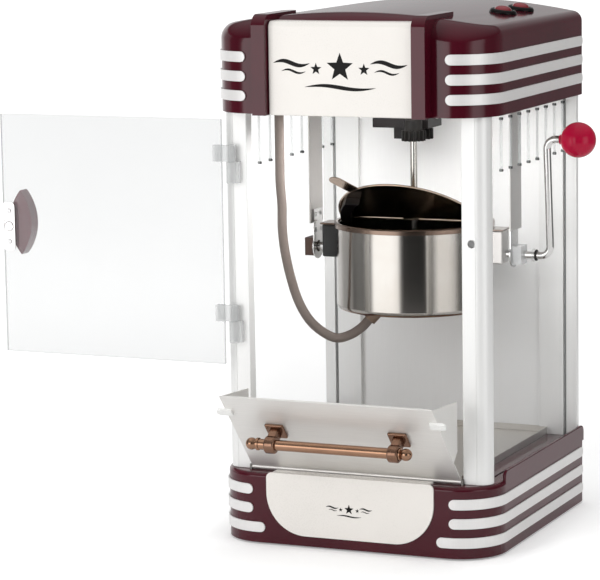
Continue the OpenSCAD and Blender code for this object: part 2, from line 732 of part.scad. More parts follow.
module catch_plate() color("#c8c8c8") difference() {
  x0 = catch_x - catch_w / 2;
  z0 = catch_z - catch_h / 2;
  along_y(door_y0 - catch_t, door_y0) {
    translate([x0 + 4, z0]) square([catch_w - 8, catch_h]);
    translate([x0, z0 + 4]) square([catch_w, catch_h - 8]);
    for (x = [x0 + 4, x0 + catch_w - 4]) for (z = [z0 + 4, z0 + catch_h - 4]) translate([x, z]) circle(4);
  }
  y_cylinder(door_y0 - 3, door_y0 + 1, catch_x, catch_z, 4.5);
  for (s = [-1, 1]) y_cylinder(door_y0 - 3, door_y0 + 1, catch_x, catch_z + s * catch_screw_gap, 1.5);
}

module door_magnet() color("#f0f0f0") y_cylinder(door_y0 - 1.5, door_y0, catch_x, catch_z, 4.5);

module catch_screws() color("#e2e2e2") for (s = [-1, 1]) {
  z = catch_z + s * catch_screw_gap;
  y_cylinder(door_y0 - catch_t - 0.5, door_y0 - catch_t, catch_x, z, 2.6);
  y_cylinder(door_y0 - catch_t, door_y1 + 6, catch_x, z, 1.5);
}

// ---------- tilt-out flap ----------

// Children are drawn for the upright, closed flap with its hinge at the origin
module flap_frame() translate([0, flap_y, flap_z]) rotate([flap_open, 0, 0]) children();

wing_outline = [[0, flap_h], [42.4, 61.3], [12.3, 28], [0, 28]];

module flap_plate() color("#cfcbc4") flap_frame() difference() {
  union() {
    block([-flap_half, -flap_t / 2, 1.5], [flap_half, flap_t / 2, flap_h]);
    mirrored() along_x(flap_half - flap_t, flap_half) polygon(wing_outline);
    x_cylinder(-flap_half, flap_half, 0, 0, flap_barrel_r);
  }
  x_cylinder(-flap_half - 1, flap_half + 1, 0, 0, flap_pin_r + fit);
}

module flap_hinge() color("#b9b6b0") {
  ear_x = flap_half + gap;
  x_cylinder(-ear_x - 1, ear_x + 1, flap_y, flap_z, flap_pin_r);
  mirrored() block([ear_x, flap_y - flap_barrel_r, deck_z], [ear_x + 2, post_front_y, flap_z + flap_barrel_r]);
}

module flap_tabs() color("#eeeeea") flap_frame() mirrored() {
  y1 = -flap_t / 2;
  block([flap_half - tab_in, y1 - tab_t, tab_z - tab_r], [flap_half + tab_out, y1, tab_z + tab_r]);
  y_cylinder(y1 - tab_t, y1, flap_half + tab_out, tab_z, tab_r);
}

module flap_handle_bar() color("#b07a50") flap_frame() {
  x_cylinder(4 - handle_left, handle_half - 4, -handle_out, handle_at, handle_r);
  x_cylinder(5.2 - handle_left, 7.7 - handle_left, -handle_out, handle_at, handle_r + 0.9);
  x_cylinder(handle_half - 5.6, handle_half - 4.1, -handle_out, handle_at, handle_r + 0.9);
  for (x = [-handle_left, handle_half]) translate([x, -handle_out, handle_at]) sphere(handle_r + 0.7);
}

module flap_handle_brackets() color("#8a5c3c") flap_frame() mirrored() difference() {
  x = handle_half - 20;
  y = -flap_t / 2;
  union() {
    block([x, y - 3, handle_at - 9], [x + 18, y, handle_at + 9]);
    block([x + 4, -handle_out, handle_at - 5.5], [x + 14, y - 3, handle_at + 5.5]);
    x_cylinder(x + 4, x + 14, -handle_out, handle_at, handle_r + 3.2);
  }
  x_cylinder(x - 9, x + 31, -handle_out, handle_at, handle_r);
}

// ---------- kettle ----------

module kettle_pot() color("#d9d5cf") translate([0, axis_y, 0]) {
  rotate_extrude() {
    translate([0, pot_floor_z]) square([pot_r, pot_t]);
    translate([pot_r - pot_t, pot_floor_z]) square([pot_t, rim_z - 1 - pot_floor_z]);
    translate([pot_r - pot_t, rim_z - 2.2]) square([rim_r - pot_r + pot_t - 1, 1.2]);
    translate([rim_r - 1.6, rim_z - 2.6]) circle(1.6, $fn = 32);
    translate([rim_r - 1, rim_z - 6]) square([1, 3.6]);
  }
  for (s = [-1, 1]) translate([s * (rim_r + block_out) / 2, 0, rim_z - 6.6])
    cube([block_out - rim_r + 2, 22, 1.6], center = true);
}

module kettle_shell() color("#c9c4be") translate([0, axis_y, 0]) difference() {
  rotate_extrude() {
    translate([kettle_r - skirt_t, kettle_z + 5]) square([skirt_t, skirt_top - kettle_z - 5]);
    intersection() {
      translate([kettle_r - 5, kettle_z + 5]) difference() {
        circle(5);
        circle(5 - skirt_t);
      }
      translate([kettle_r - 5, kettle_z]) square([5, 5]);
    }
    translate([kettle_r - 10, kettle_z]) square([5, skirt_t]);
  }
  x_cylinder(-kettle_r - 1, -kettle_r + 8, 0, axis_z, trunnion_r);
  x_cylinder(kettle_r - 8, kettle_r + 1, 0, axis_z, rod_r);
}

module kettle_cover() color("#5a524c") {
  translate([0, axis_y, kettle_z + skirt_t]) cylinder(h = cover_t, r = kettle_r - 5.4);
  tube([lead_end, lead_end + 26 * lead_heading], lead_r + 2.2, 16, lead_plane);
}

module heating_element() color("#6b5f58") translate([0, axis_y, pot_floor_z - 4]) {
  rotate_extrude() translate([element_r, 0]) circle(3.6, $fn = 32);
  for (x = [-6, 6]) translate([x, -element_r, -7]) cylinder(h = 7, r = 2.4);
}

module thermostat() color("#e6e0d2") translate([0, axis_y, pot_floor_z - 8]) {
  cylinder(h = 8, r = 9);
  translate([0, 0, -3]) cylinder(h = 3, r = 5);
}

module kettle_blocks() color("#141414") difference() {
  mirrored() block([kettle_r - 2, axis_y - 9, axis_z - 9], [block_out, axis_y + 9, rim_z - 7.4]);
  translate([0, axis_y, 0]) cylinder(h = long, r = kettle_r);
  x_cylinder(-block_out - 1, 0, axis_y, axis_z, trunnion_r);
  x_cylinder(0, block_out + 1, axis_y, axis_z, rod_r);
}

module left_trunnion() color("#c8c8c8") {
  x_cylinder(-strap_half - bush_len, 2.2 - kettle_r, axis_y, axis_z, trunnion_r);
}

module lid_bridge() color("#bdb6ae") difference() {
  block([-lid_r, axis_y - bridge_w / 2, rim_z - 1], [lid_r, axis_y + bridge_w / 2, rim_z - 1 + bridge_t]);
  translate([0, axis_y, 0]) cylinder(h = long, r = stir_r + fit);
}

module crank_rod() color("#d4d4d4") translate([0, axis_y, axis_z]) {
  x_cylinder(kettle_r - 2.2, crank_x - bend_r, 0, 0, rod_r);
  rotate([crank_lean, 0, 0]) tube(crank_path, rod_r - 0.05, 20, [0, 1, 0]);
}

module crank_knob() color("#b0123a") translate([0, axis_y, axis_z]) rotate([crank_lean, 0, 0]) difference() {
  translate([knob_x, 0, crank_len]) sphere(knob_r);
  x_cylinder(knob_x - 40, knob_x - 6, 0, crank_len, rod_r);
}

// ---------- lids ----------

module half_lid() {
  difference() {
    cylinder(h = lid_t, r = lid_r);
    block([-long, -bridge_w / 2 - gap, -1], [long, long, 5]);
    cylinder(h = 10, r = lid_notch_r, center = true);
  }
  difference() {
    x_cylinder(-lid_r * 0.9, lid_r * 0.9, -bridge_w / 2 - 1.8, lid_t / 2, 1.4);
    cylinder(h = 10, r = lid_notch_r, center = true);
  }
}

module lid_frame(angle) translate([0, axis_y, rim_z + gap])
  translate([0, -bridge_w / 2 - 1.8, lid_t / 2]) rotate([-angle, 0, 0]) translate([0, bridge_w / 2 + 1.8, -lid_t / 2]) children();

module front_lid() color("#b9a38f") lid_frame(lid_open) {
  half_lid();
  rotate([0, 0, lid_tab_turn]) difference() {
    union() {
      block([-7, -lid_r - 20, 0], [7, -lid_r + 3, lid_t]);
      translate([0, -lid_r - 20, 0]) cylinder(h = lid_t, r = 7);
      block([-1, -lid_r + 2, lid_t], [1, -lid_r + 34, lid_t + 1.2]);
    }
    cylinder(h = 10, r = lid_r - 0.5, center = true);
  }
  rotate([0, 0, lid_tab_turn]) block([-4, -lid_r + 2, lid_t], [4, -lid_r + 30, lid_t + 0.8]);
}

module front_lid_clip() color("#121212") lid_frame(lid_open) intersection() {
  clip_r = pot_r - pot_t - 0.8;
  difference() {
    translate([0, 0, -7]) cylinder(h = 7, r = clip_r);
    translate([0, 0, -9]) cylinder(h = 12, r = clip_r - clip_w);
  }
  block([-lid_r - 1, -lid_r * 0.62, -8], [0, -bridge_w / 2 - 4, 0]);
}

module rear_lid() color("#b9a38f") translate([0, axis_y, rim_z + gap]) mirror([0, 1, 0]) half_lid();

// ---------- stirrer ----------

module stirrer_shaft() color("#c2bcb4") translate([0, axis_y, pot_floor_z + pot_t + 0.5]) cylinder(h = pinion_z + 2 - pot_floor_z - pot_t, r = stir_r);

module stirrer_pinion() color("#1d1a18") translate([0, axis_y, pinion_z]) difference() {
  union() {
    linear_extrude(gear_w) polygon(gear_outline(90));
    translate([0, 0, gear_w]) cylinder(h = hub_h, r = hub_r);
  }
  translate([0, 0, -1]) cylinder(h = 3.5, r = stir_r);
}

module stirrer_paddle() color("#a8a29a") translate([0, axis_y, paddle_z]) difference() {
  union() {
    block([-paddle_half, -1, 0], [paddle_half, 1, paddle_h * 0.6]);
    cylinder(h = paddle_h, r = 6.5);
  }
  translate([0, 0, -1]) cylinder(h = paddle_h + 2, r = stir_r);
}

// ---------- kettle lead ----------

module kettle_lead() color("#7f726b") tube(lead_route, lead_r, 12, lead_plane);

base_shell();
base_plate();
rubber_feet();
base_trim();
base_front_panel();
cabinet_floor();
front_posts();
rear_posts();
window_left();
window_right();
rear_panel();
frame_screws();
canopy_shell();
ceiling_plate();
sign_panel();
sign_ribs();
canopy_trim();
power_inlet();
switch_bezels();
button_light();
button_motor();
motor();
gear_housing();
drive_gear();
lamp_holder();
lamp();
kettle_straps();
pivot_brackets();
pivot_bushes();
lead_gland();
post_knuckles();
door_strike();
door_panel();
door_knuckles();
door_handle();
catch_plate();
door_magnet();
catch_screws();
flap_hinge();
flap_plate();
flap_tabs();
flap_handle_bar();
flap_handle_brackets();
kettle_pot();
kettle_shell();
kettle_cover();
heating_element();
thermostat();
kettle_blocks();
left_trunnion();
lid_bridge();
crank_rod();
crank_knob();
front_lid();
front_lid_clip();
rear_lid();
stirrer_shaft();
stirrer_pinion();
stirrer_paddle();
kettle_lead();
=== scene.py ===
import json
from math import asin, cos, hypot, pi, radians, sin, sqrt

import bpy
from mathutils import Matrix, Vector

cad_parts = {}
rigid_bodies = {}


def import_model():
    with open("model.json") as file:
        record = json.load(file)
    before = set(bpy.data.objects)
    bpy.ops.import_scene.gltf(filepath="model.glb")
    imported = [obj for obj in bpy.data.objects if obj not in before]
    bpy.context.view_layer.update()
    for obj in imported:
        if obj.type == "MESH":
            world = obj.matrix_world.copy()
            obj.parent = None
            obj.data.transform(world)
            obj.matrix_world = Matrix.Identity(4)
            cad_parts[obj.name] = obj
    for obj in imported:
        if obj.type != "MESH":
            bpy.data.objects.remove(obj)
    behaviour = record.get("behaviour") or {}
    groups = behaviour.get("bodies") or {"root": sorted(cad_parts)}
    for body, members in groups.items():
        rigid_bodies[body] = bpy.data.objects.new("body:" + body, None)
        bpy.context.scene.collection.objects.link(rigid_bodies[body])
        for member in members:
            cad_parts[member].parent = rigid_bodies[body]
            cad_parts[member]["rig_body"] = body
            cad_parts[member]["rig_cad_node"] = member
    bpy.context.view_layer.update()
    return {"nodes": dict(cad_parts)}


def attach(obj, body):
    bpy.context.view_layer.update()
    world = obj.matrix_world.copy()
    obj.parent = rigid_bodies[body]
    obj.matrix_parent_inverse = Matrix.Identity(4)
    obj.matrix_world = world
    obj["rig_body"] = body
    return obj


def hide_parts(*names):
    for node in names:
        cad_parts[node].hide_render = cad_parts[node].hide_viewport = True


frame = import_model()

nodes = frame["nodes"]
scene = bpy.context.scene
mm = 0.001  # pieces are measured in millimetres, as in the part's source
weld = 0.00001
print("frame loaded:", len(nodes), "nodes")

# ---- camera ----

cameraSet = dict(lens=174.29, sensor=36, place=(0.9876, -2.4810, 0.6289),
                 azimuth=23.7577, elevation=8.7126, roll=-0.9111)


def makeCamera(c):
    a, e, r = radians(c["azimuth"]), radians(c["elevation"]), radians(c["roll"])
    back = Vector((sin(a) * cos(e), -cos(a) * cos(e), sin(e)))
    right = Vector((cos(a), sin(a), 0))
    up = back.cross(right)
    across = right * cos(r) + up * sin(r)
    upright = up * cos(r) - right * sin(r)
    bpy.ops.object.camera_add()
    camera = bpy.context.object
    camera.data.lens, camera.data.sensor_width = c["lens"], c["sensor"]
    camera.data.clip_start, camera.data.clip_end = 0.05, 60
    turn = Matrix((across, upright, back)).transposed().to_4x4()
    camera.matrix_world = Matrix.Translation(c["place"]) @ turn
    scene.camera = camera


makeCamera(cameraSet)
scene.view_settings.view_transform = "Standard"

# ---- modelling helpers ----


def nothing():
    if bpy.context.mode != "OBJECT":
        bpy.ops.object.mode_set(mode="OBJECT")
    bpy.ops.object.select_all(action="DESELECT")


def only(obj):
    nothing()
    obj.select_set(True)
    bpy.context.view_layer.objects.active = obj
    return obj


def settle(obj, name):
    only(obj).name = name
    bpy.ops.object.transform_apply(location=True, rotation=True, scale=True)
    return obj


def addBox(name, low, high):
    nothing()
    bpy.ops.mesh.primitive_cube_add(size=1, location=[(a + b) / 2 * mm for a, b in zip(low, high)])
    bpy.context.object.scale = [(b - a) * mm for a, b in zip(low, high)]
    return settle(bpy.context.object, name)


def addRod(name, start, end, radius, sides=48, tip=None):
    nothing()
    a, b = Vector(start) * mm, Vector(end) * mm
    tip = radius if tip is None else tip
    turn = (b - a).to_track_quat("Z", "Y").to_euler()
    bpy.ops.mesh.primitive_cone_add(vertices=sides, radius1=radius * mm, radius2=tip * mm,
                                    depth=(b - a).length, location=(a + b) / 2, rotation=turn)
    return settle(bpy.context.object, name)


def pick(obj, kind, test):
    only(obj)
    bpy.ops.object.mode_set(mode="EDIT")
    bpy.ops.mesh.select_mode(type=kind)
    bpy.ops.mesh.select_all(action="DESELECT")
    bpy.ops.object.mode_set(mode="OBJECT")
    data, at = obj.data, [v.co / mm for v in obj.data.vertices]
    if kind == "FACE":
        for face in data.polygons:
            face.select = bool(test(face.center / mm, face.normal))
    elif kind == "EDGE":
        for edge in data.edges:
            edge.select = bool(test(*(at[i] for i in edge.vertices)))
    else:
        for vertex in data.vertices:
            vertex.select = bool(test(at[vertex.index]))
    bpy.ops.object.mode_set(mode="EDIT")


def enter():
    bpy.ops.object.mode_set(mode="EDIT")
    bpy.ops.mesh.select_all(action="SELECT")


def leave():
    bpy.ops.object.mode_set(mode="OBJECT")


def leaveOutward():  # the faces look outward before edit mode ends
    bpy.ops.mesh.select_all(action="SELECT")
    bpy.ops.mesh.normals_make_consistent(inside=False)
    leave()


def drawLine(name, points, close=False):
    nothing()
    bpy.ops.mesh.primitive_plane_add(size=mm, location=Vector(points[0]) * mm)
    line = settle(bpy.context.object, name)
    bpy.ops.object.mode_set(mode="EDIT")
    bpy.ops.mesh.select_mode(type="VERT")
    bpy.ops.mesh.select_all(action="SELECT")
    bpy.ops.mesh.merge(type="CENTER")
    for a, b in zip(points, points[1:]):
        bpy.ops.mesh.extrude_region_move(TRANSFORM_OT_translate={"value": (Vector(b) - Vector(a)) * mm})
    if close:
        bpy.ops.mesh.select_all(action="SELECT")
        bpy.ops.mesh.edge_face_add()
    leave()
    return line


def plate(name, points, push):
    sheet = drawLine(name, points, close=True)
    enter()
    bpy.ops.mesh.extrude_region_move(TRANSFORM_OT_translate={"value": Vector(push) * mm})
    leaveOutward()
    return sheet


def lathe(name, profile, centre, axis="Z", steps=96):
    origin = Vector(centre)
    along = Vector([letter == axis for letter in "XYZ"])
    out = Vector((0, 1, 0) if axis == "X" else (1, 0, 0))
    line = drawLine(name, [origin + out * r + along * h for r, h in profile])
    enter()
    bpy.ops.mesh.spin(steps=steps, angle=2 * pi, center=origin * mm, axis=along)
    bpy.ops.mesh.select_all(action="SELECT")
    bpy.ops.mesh.remove_doubles(threshold=weld)
    leaveOutward()
    return line


def bentRod(name, points, radius, sides=8):
    line = drawLine(name, points)
    only(line)
    bpy.ops.object.convert(target="CURVE")
    line = bpy.context.object
    line.data.bevel_depth, line.data.bevel_resolution = radius * mm, sides
    line.data.use_fill_caps = True
    bpy.ops.object.convert(target="MESH")
    return bpy.context.object


def modify(obj, kind, **settings):
    only(obj)
    modifier = obj.modifiers.new(kind.lower(), kind)
    for key, value in settings.items():
        setattr(modifier, key, value)
    bpy.ops.object.modifier_apply(modifier=modifier.name)
    return obj


def soften(obj, width, segments=3, angle=40):
    return modify(obj, "BEVEL", width=width * mm, segments=segments, limit_method="ANGLE",
                  angle_limit=radians(angle), use_clamp_overlap=True)


def cutBy(obj, *tools):
    for tool in tools:
        modify(obj, "BOOLEAN", operation="DIFFERENCE", solver="EXACT", object=tool)
        bpy.data.objects.remove(tool)
    return obj


def joined(name, *parts):
    nothing()
    for part in parts:
        part.select_set(True)
    bpy.context.view_layer.objects.active = parts[0]
    if len(parts) > 1:
        bpy.ops.object.join()
    parts[0].name = name
    return parts[0]


def mirrored(obj):
    only(obj)
    bpy.ops.object.duplicate()
    twin = bpy.context.object
    bpy.ops.transform.resize(value=(-1, 1, 1), center_override=(0, 0, 0), orient_type="GLOBAL")
    bpy.ops.object.transform_apply(location=True, rotation=True, scale=True)
    bpy.ops.object.mode_set(mode="EDIT")
    leaveOutward()
    return twin


def tilted(obj, angle, centre, axis="X"):
    only(obj)
    bpy.ops.transform.rotate(value=-radians(angle), orient_axis=axis, orient_type="GLOBAL",
                             center_override=Vector(centre) * mm)
    bpy.ops.object.transform_apply(location=True, rotation=True, scale=True)
    return obj


def finish(obj, name, material, body, slotName, *replaced, smoothAt=35):
    settle(obj, name)
    bpy.ops.object.shade_smooth_by_angle(angle=radians(smoothAt))
    obj.data.materials.clear()
    obj.data.materials.append(material)
    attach(obj, body)
    if replaced:
        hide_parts(*replaced)
    return obj


def arc(cx, cy, r, start, end, count):
    turns = [radians(start + (end - start) * i / count) for i in range(count + 1)]
    return [(cx + r * cos(a), cy + r * sin(a)) for a in turns]


# ---- kettle lead ----

lead = dict(radius=4.4, route=[
    (-107, -36, 384), (-107, -36, 364), (-107, -36, 342), (-107, -36, 320), (-106, -35, 298),
    (-106, -35, 276), (-104, -34, 254), (-100, -31, 230), (-94, -28, 208), (-85, -24, 190),
    (-74, -18, 178), (-62, -13, 172), (-50, -8, 175), (-40, -4, 182), (-34, -1, 189)])


def makeLead(piece):
    points = [Vector(p) for p in piece["route"]]
    ends = [points[0] * 2 - points[1], *points, points[-1] * 2 - points[-2]]
    smooth = []
    for i in range(1, len(ends) - 2):
        p0, p1, p2, p3 = ends[i - 1:i + 3]
        for k in range(6):
            t = k / 6
            smooth.append(0.5 * ((2 * p1) + (p2 - p0) * t + (2 * p0 - 5 * p1 + 4 * p2 - p3) * t * t
                                 + (3 * p1 - p0 - 3 * p2 + p3) * t ** 3))
    smooth.append(points[-1])
    hose = bentRod("kettleLead", smooth, piece["radius"])
    length = sum((b - a).length for a, b in zip(smooth, smooth[1:]))
    return hose, [p * mm for p in smooth], length * mm


leadPiece, leadPath, leadLength = makeLead(lead)
print("kettle lead", round(leadLength, 4))

# ---- finishes ----


class Flow:  # a shader socket: sums and products on it add Math nodes
    def __init__(self, graph, socket):
        self.graph, self.socket = graph, socket

    def calc(self, operation, *values):
        return self.graph.make("ShaderNodeMath", dict(operation=operation), dict(enumerate(values)))

    def __add__(self, other):
        return self.calc("ADD", self, other)

    def __sub__(self, other):
        return self.calc("SUBTRACT", self, other)

    def __rsub__(self, other):
        return self.calc("SUBTRACT", other, self)

    def __mul__(self, other):
        return self.calc("MULTIPLY", self, other)

    def __truediv__(self, other):
        return self.calc("DIVIDE", self, other)

    def __pow__(self, other):
        return self.calc("POWER", self, other)

    __radd__, __rmul__ = __add__, __mul__


class Graph:  # the nodes of one material or of the world
    def __init__(self, holder):
        holder.use_nodes = True
        self.tree = holder.node_tree

    def make(self, kind, settings, sockets, out=0):
        node = self.tree.nodes.new(kind)
        for key, value in settings.items():
            if key == "stops":
                ramp = node.color_ramp.elements
                while len(ramp) < len(value):
                    ramp.new(0.5)
                for stop, (position, tone) in zip(ramp, value):
                    stop.position, stop.color = position, (tone, tone, tone, 1)
            else:
                setattr(node, key, value)
        for key, value in sockets.items():
            if isinstance(value, Flow):
                self.tree.links.new(value.socket, node.inputs[key])
            else:
                node.inputs[key].default_value = value
        return Flow(self, node.outputs[out])

    def ramp(self, value, *stops):
        return self.make("ShaderNodeValToRGB", dict(stops=stops), {0: value})

    def spread(self, value, start, end, low, high, kind="LINEAR"):
        sockets = {0: value, 1: start, 2: end, 3: low, 4: high}
        return self.make("ShaderNodeMapRange", dict(interpolation_type=kind), sockets)


class Finish(Graph):
    def __init__(self, name, color, roughness, metallic=0, **fixed):
        self.material = bpy.data.materials.new(name)
        super().__init__(self.material)
        self.shader = self.tree.nodes["Principled BSDF"]
        self.shader.inputs["Base Color"].default_value = (*color, 1)
        self.shader.inputs["Roughness"].default_value = roughness
        self.shader.inputs["Metallic"].default_value = metallic
        for key, value in fixed.items():
            self.shader.inputs[key.replace("_", " ")].default_value = value
        self.place = self.make("ShaderNodeTexCoord", {}, {}, "Object")

    def stretched(self, scale):
        return self.make("ShaderNodeMapping", {}, {"Vector": self.place, "Scale": scale})

    def noise(self, scale, detail=2, roughness=0.5, at=None):
        sockets = {"Vector": at or self.place, "Scale": scale, "Detail": detail, "Roughness": roughness}
        return self.make("ShaderNodeTexNoise", {}, sockets)

    def cells(self, scale):
        return self.make("ShaderNodeTexVoronoi", {}, {"Vector": self.place, "Scale": scale}, "Distance")

    def blendTone(self, factor, low, high):
        return self.make("ShaderNodeMix", dict(data_type="RGBA"), {0: factor, 6: (*low, 1), 7: (*high, 1)}, 2)

    def feed(self, **values):
        for key, value in values.items():
            self.tree.links.new(value.socket, self.shader.inputs[key.replace("_", " ")])
        return self

    def bump(self, height, strength, distance=0.0005):
        sockets = {"Strength": strength, "Distance": distance, "Height": height}
        return self.feed(Normal=self.make("ShaderNodeBump", {}, sockets, "Normal"))


# glossy moulded plastic: faint flow marks, dust-fine specks
def moulded(name, color, roughness, speck=0.10, wave=0.05, **fixed):
    m = Finish(name, color, roughness, **fixed)
    flow = m.noise(14, 3, 0.6)
    dust = m.noise(900, 2, 0.7)
    deep, light = [c * (1 - speck) for c in color], [min(1, c * (1 + speck)) for c in color]
    m.feed(Base_Color=m.blendTone(m.ramp(flow, (0.3, 0.0), (0.7, 1.0)), deep, light))
    specks = m.ramp(dust, (0.35, 0.0), (0.75, 1.0)) * (roughness * 0.25)
    m.feed(Roughness=roughness * 0.82 + specks + flow * (roughness * 0.25))
    m.bump(flow * 0.6 + m.noise(55, 2, 0.5) * 0.4 + dust * 0.02, wave, 0.0006)
    return m.material


# brushed or rolled metal, or paint over it
def brushed(name, color, roughness, along=(1, 60, 60), grain=0.16, metallic=1.0, strength=0.08):
    m = Finish(name, color, roughness, metallic)
    line = m.noise(26, 5, 0.75, m.stretched(along))
    cloud = m.noise(9, 3, 0.6)
    dark, light = [c * (1 - grain) for c in color], [min(1, c * (1 + grain * 0.5)) for c in color]
    streak = m.ramp(line * 0.8 + cloud * 0.2, (0.3, 0.0), (0.7, 1.0))
    m.feed(Base_Color=m.blendTone(streak, dark, light))
    m.feed(Roughness=roughness * 0.75 + line * (roughness * 0.4) + cloud * (roughness * 0.1))
    m.bump(line, strength, 0.0003)
    return m.material


# bright metal with faint wipe marks
def polished(name, color, roughness, tint=None, scratch=0.05):
    m = Finish(name, color, roughness, 1.0)
    smear = m.noise(11, 4, 0.6)
    hair = m.noise(160, 3, 0.7, m.stretched((1, 1, 0.12)))
    wiped = m.ramp(smear, (0.35, 0.0), (0.75, 1.0))
    m.feed(Base_Color=m.blendTone(wiped, color, tint or [c * 0.88 for c in color]))
    scratches = m.ramp(hair, (0.6, 0.0), (0.8, 1.0)) * 0.06
    m.feed(Roughness=roughness * 0.7 + smear * (roughness * 0.45) + scratches)
    m.bump(smear * 0.5 + hair * 0.5, scratch, 0.0002)
    return m.material


# fine-textured matt plastic or rubber
def grained(name, color, roughness, scale=420, strength=0.12, **fixed):
    m = Finish(name, color, roughness, **fixed)
    pore = m.cells(scale)
    cloud = m.noise(30, 3, 0.6)
    m.feed(Base_Color=m.blendTone(cloud, [c * 0.8 for c in color], [min(1, c * 1.25) for c in color]))
    m.feed(Roughness=roughness * 0.9 + pore * 0.15)
    m.bump(pore * 0.7 + cloud * 0.3, strength, 0.0003)
    return m.material


# clear sheet: faint haze and wipe marks
def clear(name, color, alpha, roughness=0.04, **fixed):
    m = Finish(name, color, roughness, **fixed)
    haze = m.noise(7, 3, 0.6)
    dust = m.noise(700, 2, 0.7)
    m.feed(Base_Color=m.blendTone(haze, color, [min(1, c * 1.03) for c in color]))
    m.feed(Alpha=alpha * 0.86 + haze * (alpha * 0.25) + m.ramp(dust, (0.74, 0.0), (0.8, 1.0)) * 0.05)
    m.feed(Roughness=roughness + dust * 0.03)
    m.bump(haze, 0.02, 0.0004)
    return m.material


burgundy = moulded("burgundyPlastic", (0.056, 0.0032, 0.0095), 0.11, 0.14, 0.03,
                   Specular_IOR_Level=0.36)
# near-black ink for the printed ornaments, also used as painted shade in the ends of the window slots
signInk = moulded("signInk", (0.006, 0.0055, 0.0055), 0.4, 0.1, 0.02, Specular_IOR_Level=0.12)
cream = moulded("creamPlastic", (0.80, 0.77, 0.73), 0.28, 0.015, 0.03, Specular_IOR_Level=0.4)
silverStrip = brushed("silverStrip", (0.80, 0.79, 0.78), 0.42, (60, 60, 1), 0.05, 0.30, 0.03)
blackSheet = grained("blackSheet", (0.03, 0.03, 0.03), 0.5, 300, 0.06)
footRubber = grained("footRubber", (0.02, 0.02, 0.02), 0.75, 500, 0.25)
trayMetal = brushed("trayMetal", (0.60, 0.57, 0.53), 0.34)
postPaint = brushed("postPaint", (0.80, 0.80, 0.79), 0.34, (60, 60, 1), 0.03, 0.15, 0.02)
rearPaint = brushed("rearPaint", (0.90, 0.90, 0.895), 0.5, (60, 60, 1), 0.03, 0.1, 0.02)
windowClear = clear("windowClear", (0.74, 0.75, 0.75), 0.10, Specular_IOR_Level=0.3)
# the open door's clear sheet is a greyer, denser copy of the windows' sheet: painted reflection and shade on
# the door
doorClear = clear("doorClear", (0.46, 0.475, 0.475), 0.21, Specular_IOR_Level=0.3)
# greyer, denser tones for the clear sheets' edge faces and their slot and hole cuts: painted reflection at the
# edges, over the sheet's own tint seen edge-on
paneRim = clear("paneRim", (0.36, 0.39, 0.39), 0.6)
slotRim = clear("slotRim", (0.50, 0.53, 0.53), 0.28)
hingeClear = clear("hingeClear", (0.62, 0.63, 0.63), 0.5, 0.12)
screwSteel = brushed("screwSteel", (0.60, 0.60, 0.60), 0.32, (40, 40, 40), 0.1)
ceilingMetal = brushed("ceilingMetal", (0.52, 0.50, 0.47), 0.4)
blackPlastic = moulded("blackPlastic", (0.006, 0.005, 0.005), 0.3, 0.2, 0.04,
                       Specular_IOR_Level=0.16)
buttonRed = moulded("buttonRed", (0.20, 0.006, 0.014), 0.12, 0.08, 0.02, Coat_Weight=0.5)
motorSteel = brushed("motorSteel", (0.36, 0.37, 0.38), 0.4, (1, 1, 60))
gearBlack = grained("gearBlack", (0.006, 0.0055, 0.005), 0.38, 600, 0.05, Specular_IOR_Level=0.16)
lampCeramic = grained("lampCeramic", (0.80, 0.76, 0.68), 0.3, 500, 0.04)
lampGlass = grained("lampGlass", (0.90, 0.84, 0.70), 0.25, 900, 0.02)
strapSteel = brushed("strapSteel", (0.62, 0.595, 0.575), 0.38, (60, 60, 1), 0.12)
brightSteel = polished("brightSteel", (0.70, 0.69, 0.68), 0.2)
bushBrown = grained("bushBrown", (0.05, 0.024, 0.016), 0.45, 260, 0.2)
glandPlastic = grained("glandPlastic", (0.04, 0.035, 0.03), 0.5)
handlePlastic = moulded("handlePlastic", (0.13, 0.02, 0.035), 0.18, 0.12, 0.03, Coat_Weight=0.5)
catchSteel = polished("catchSteel", (0.62, 0.60, 0.60), 0.22)
magnetNickel = polished("magnetNickel", (0.86, 0.85, 0.84), 0.16)
flapSteel = brushed("flapSteel", (0.80, 0.785, 0.76), 0.40, (1, 60, 60), 0.08, 0.55)
hingeSteel = brushed("hingeSteel", (0.20, 0.19, 0.18), 0.4)
tabPlastic = moulded("tabPlastic", (0.83, 0.83, 0.81), 0.25, 0.02)
copperBar = polished("copperBar", (0.37, 0.215, 0.14), 0.24, (0.29, 0.165, 0.105), 0.08)
copperBracket = polished("copperBracket", (0.25, 0.145, 0.10), 0.28, (0.19, 0.105, 0.07), 0.08)
kettleSteel = polished("kettleSteel", (0.37, 0.355, 0.335), 0.13, (0.335, 0.31, 0.28))
rimSteel = polished("rimSteel", (0.20, 0.145, 0.115), 0.24, (0.13, 0.09, 0.07))
hemCopper = polished("hemCopper", (0.34, 0.20, 0.13), 0.24, (0.26, 0.14, 0.09))
# brown-tinted steel for the lids and their bridge: painted reflection of popcorn in the raised lid's underside
lidSteel = polished("lidSteel", (0.60, 0.50, 0.42), 0.17, (0.44, 0.31, 0.22), 0.10)
coverSteel = brushed("coverSteel", (0.30, 0.22, 0.17), 0.34, (1, 1, 60))
elementSteel = grained("elementSteel", (0.14, 0.11, 0.095), 0.5)
blockBlack = moulded("blockBlack", (0.010, 0.010, 0.010), 0.34, 0.2, 0.05)
crankChrome = polished("crankChrome", (0.72, 0.71, 0.70), 0.10)
knobRed = moulded("knobRed", (0.42, 0.004, 0.036), 0.12, 0.05, 0.02, Specular_IOR_Level=0.22)
stirrerSteel = polished("stirrerSteel", (0.60, 0.575, 0.54), 0.22)


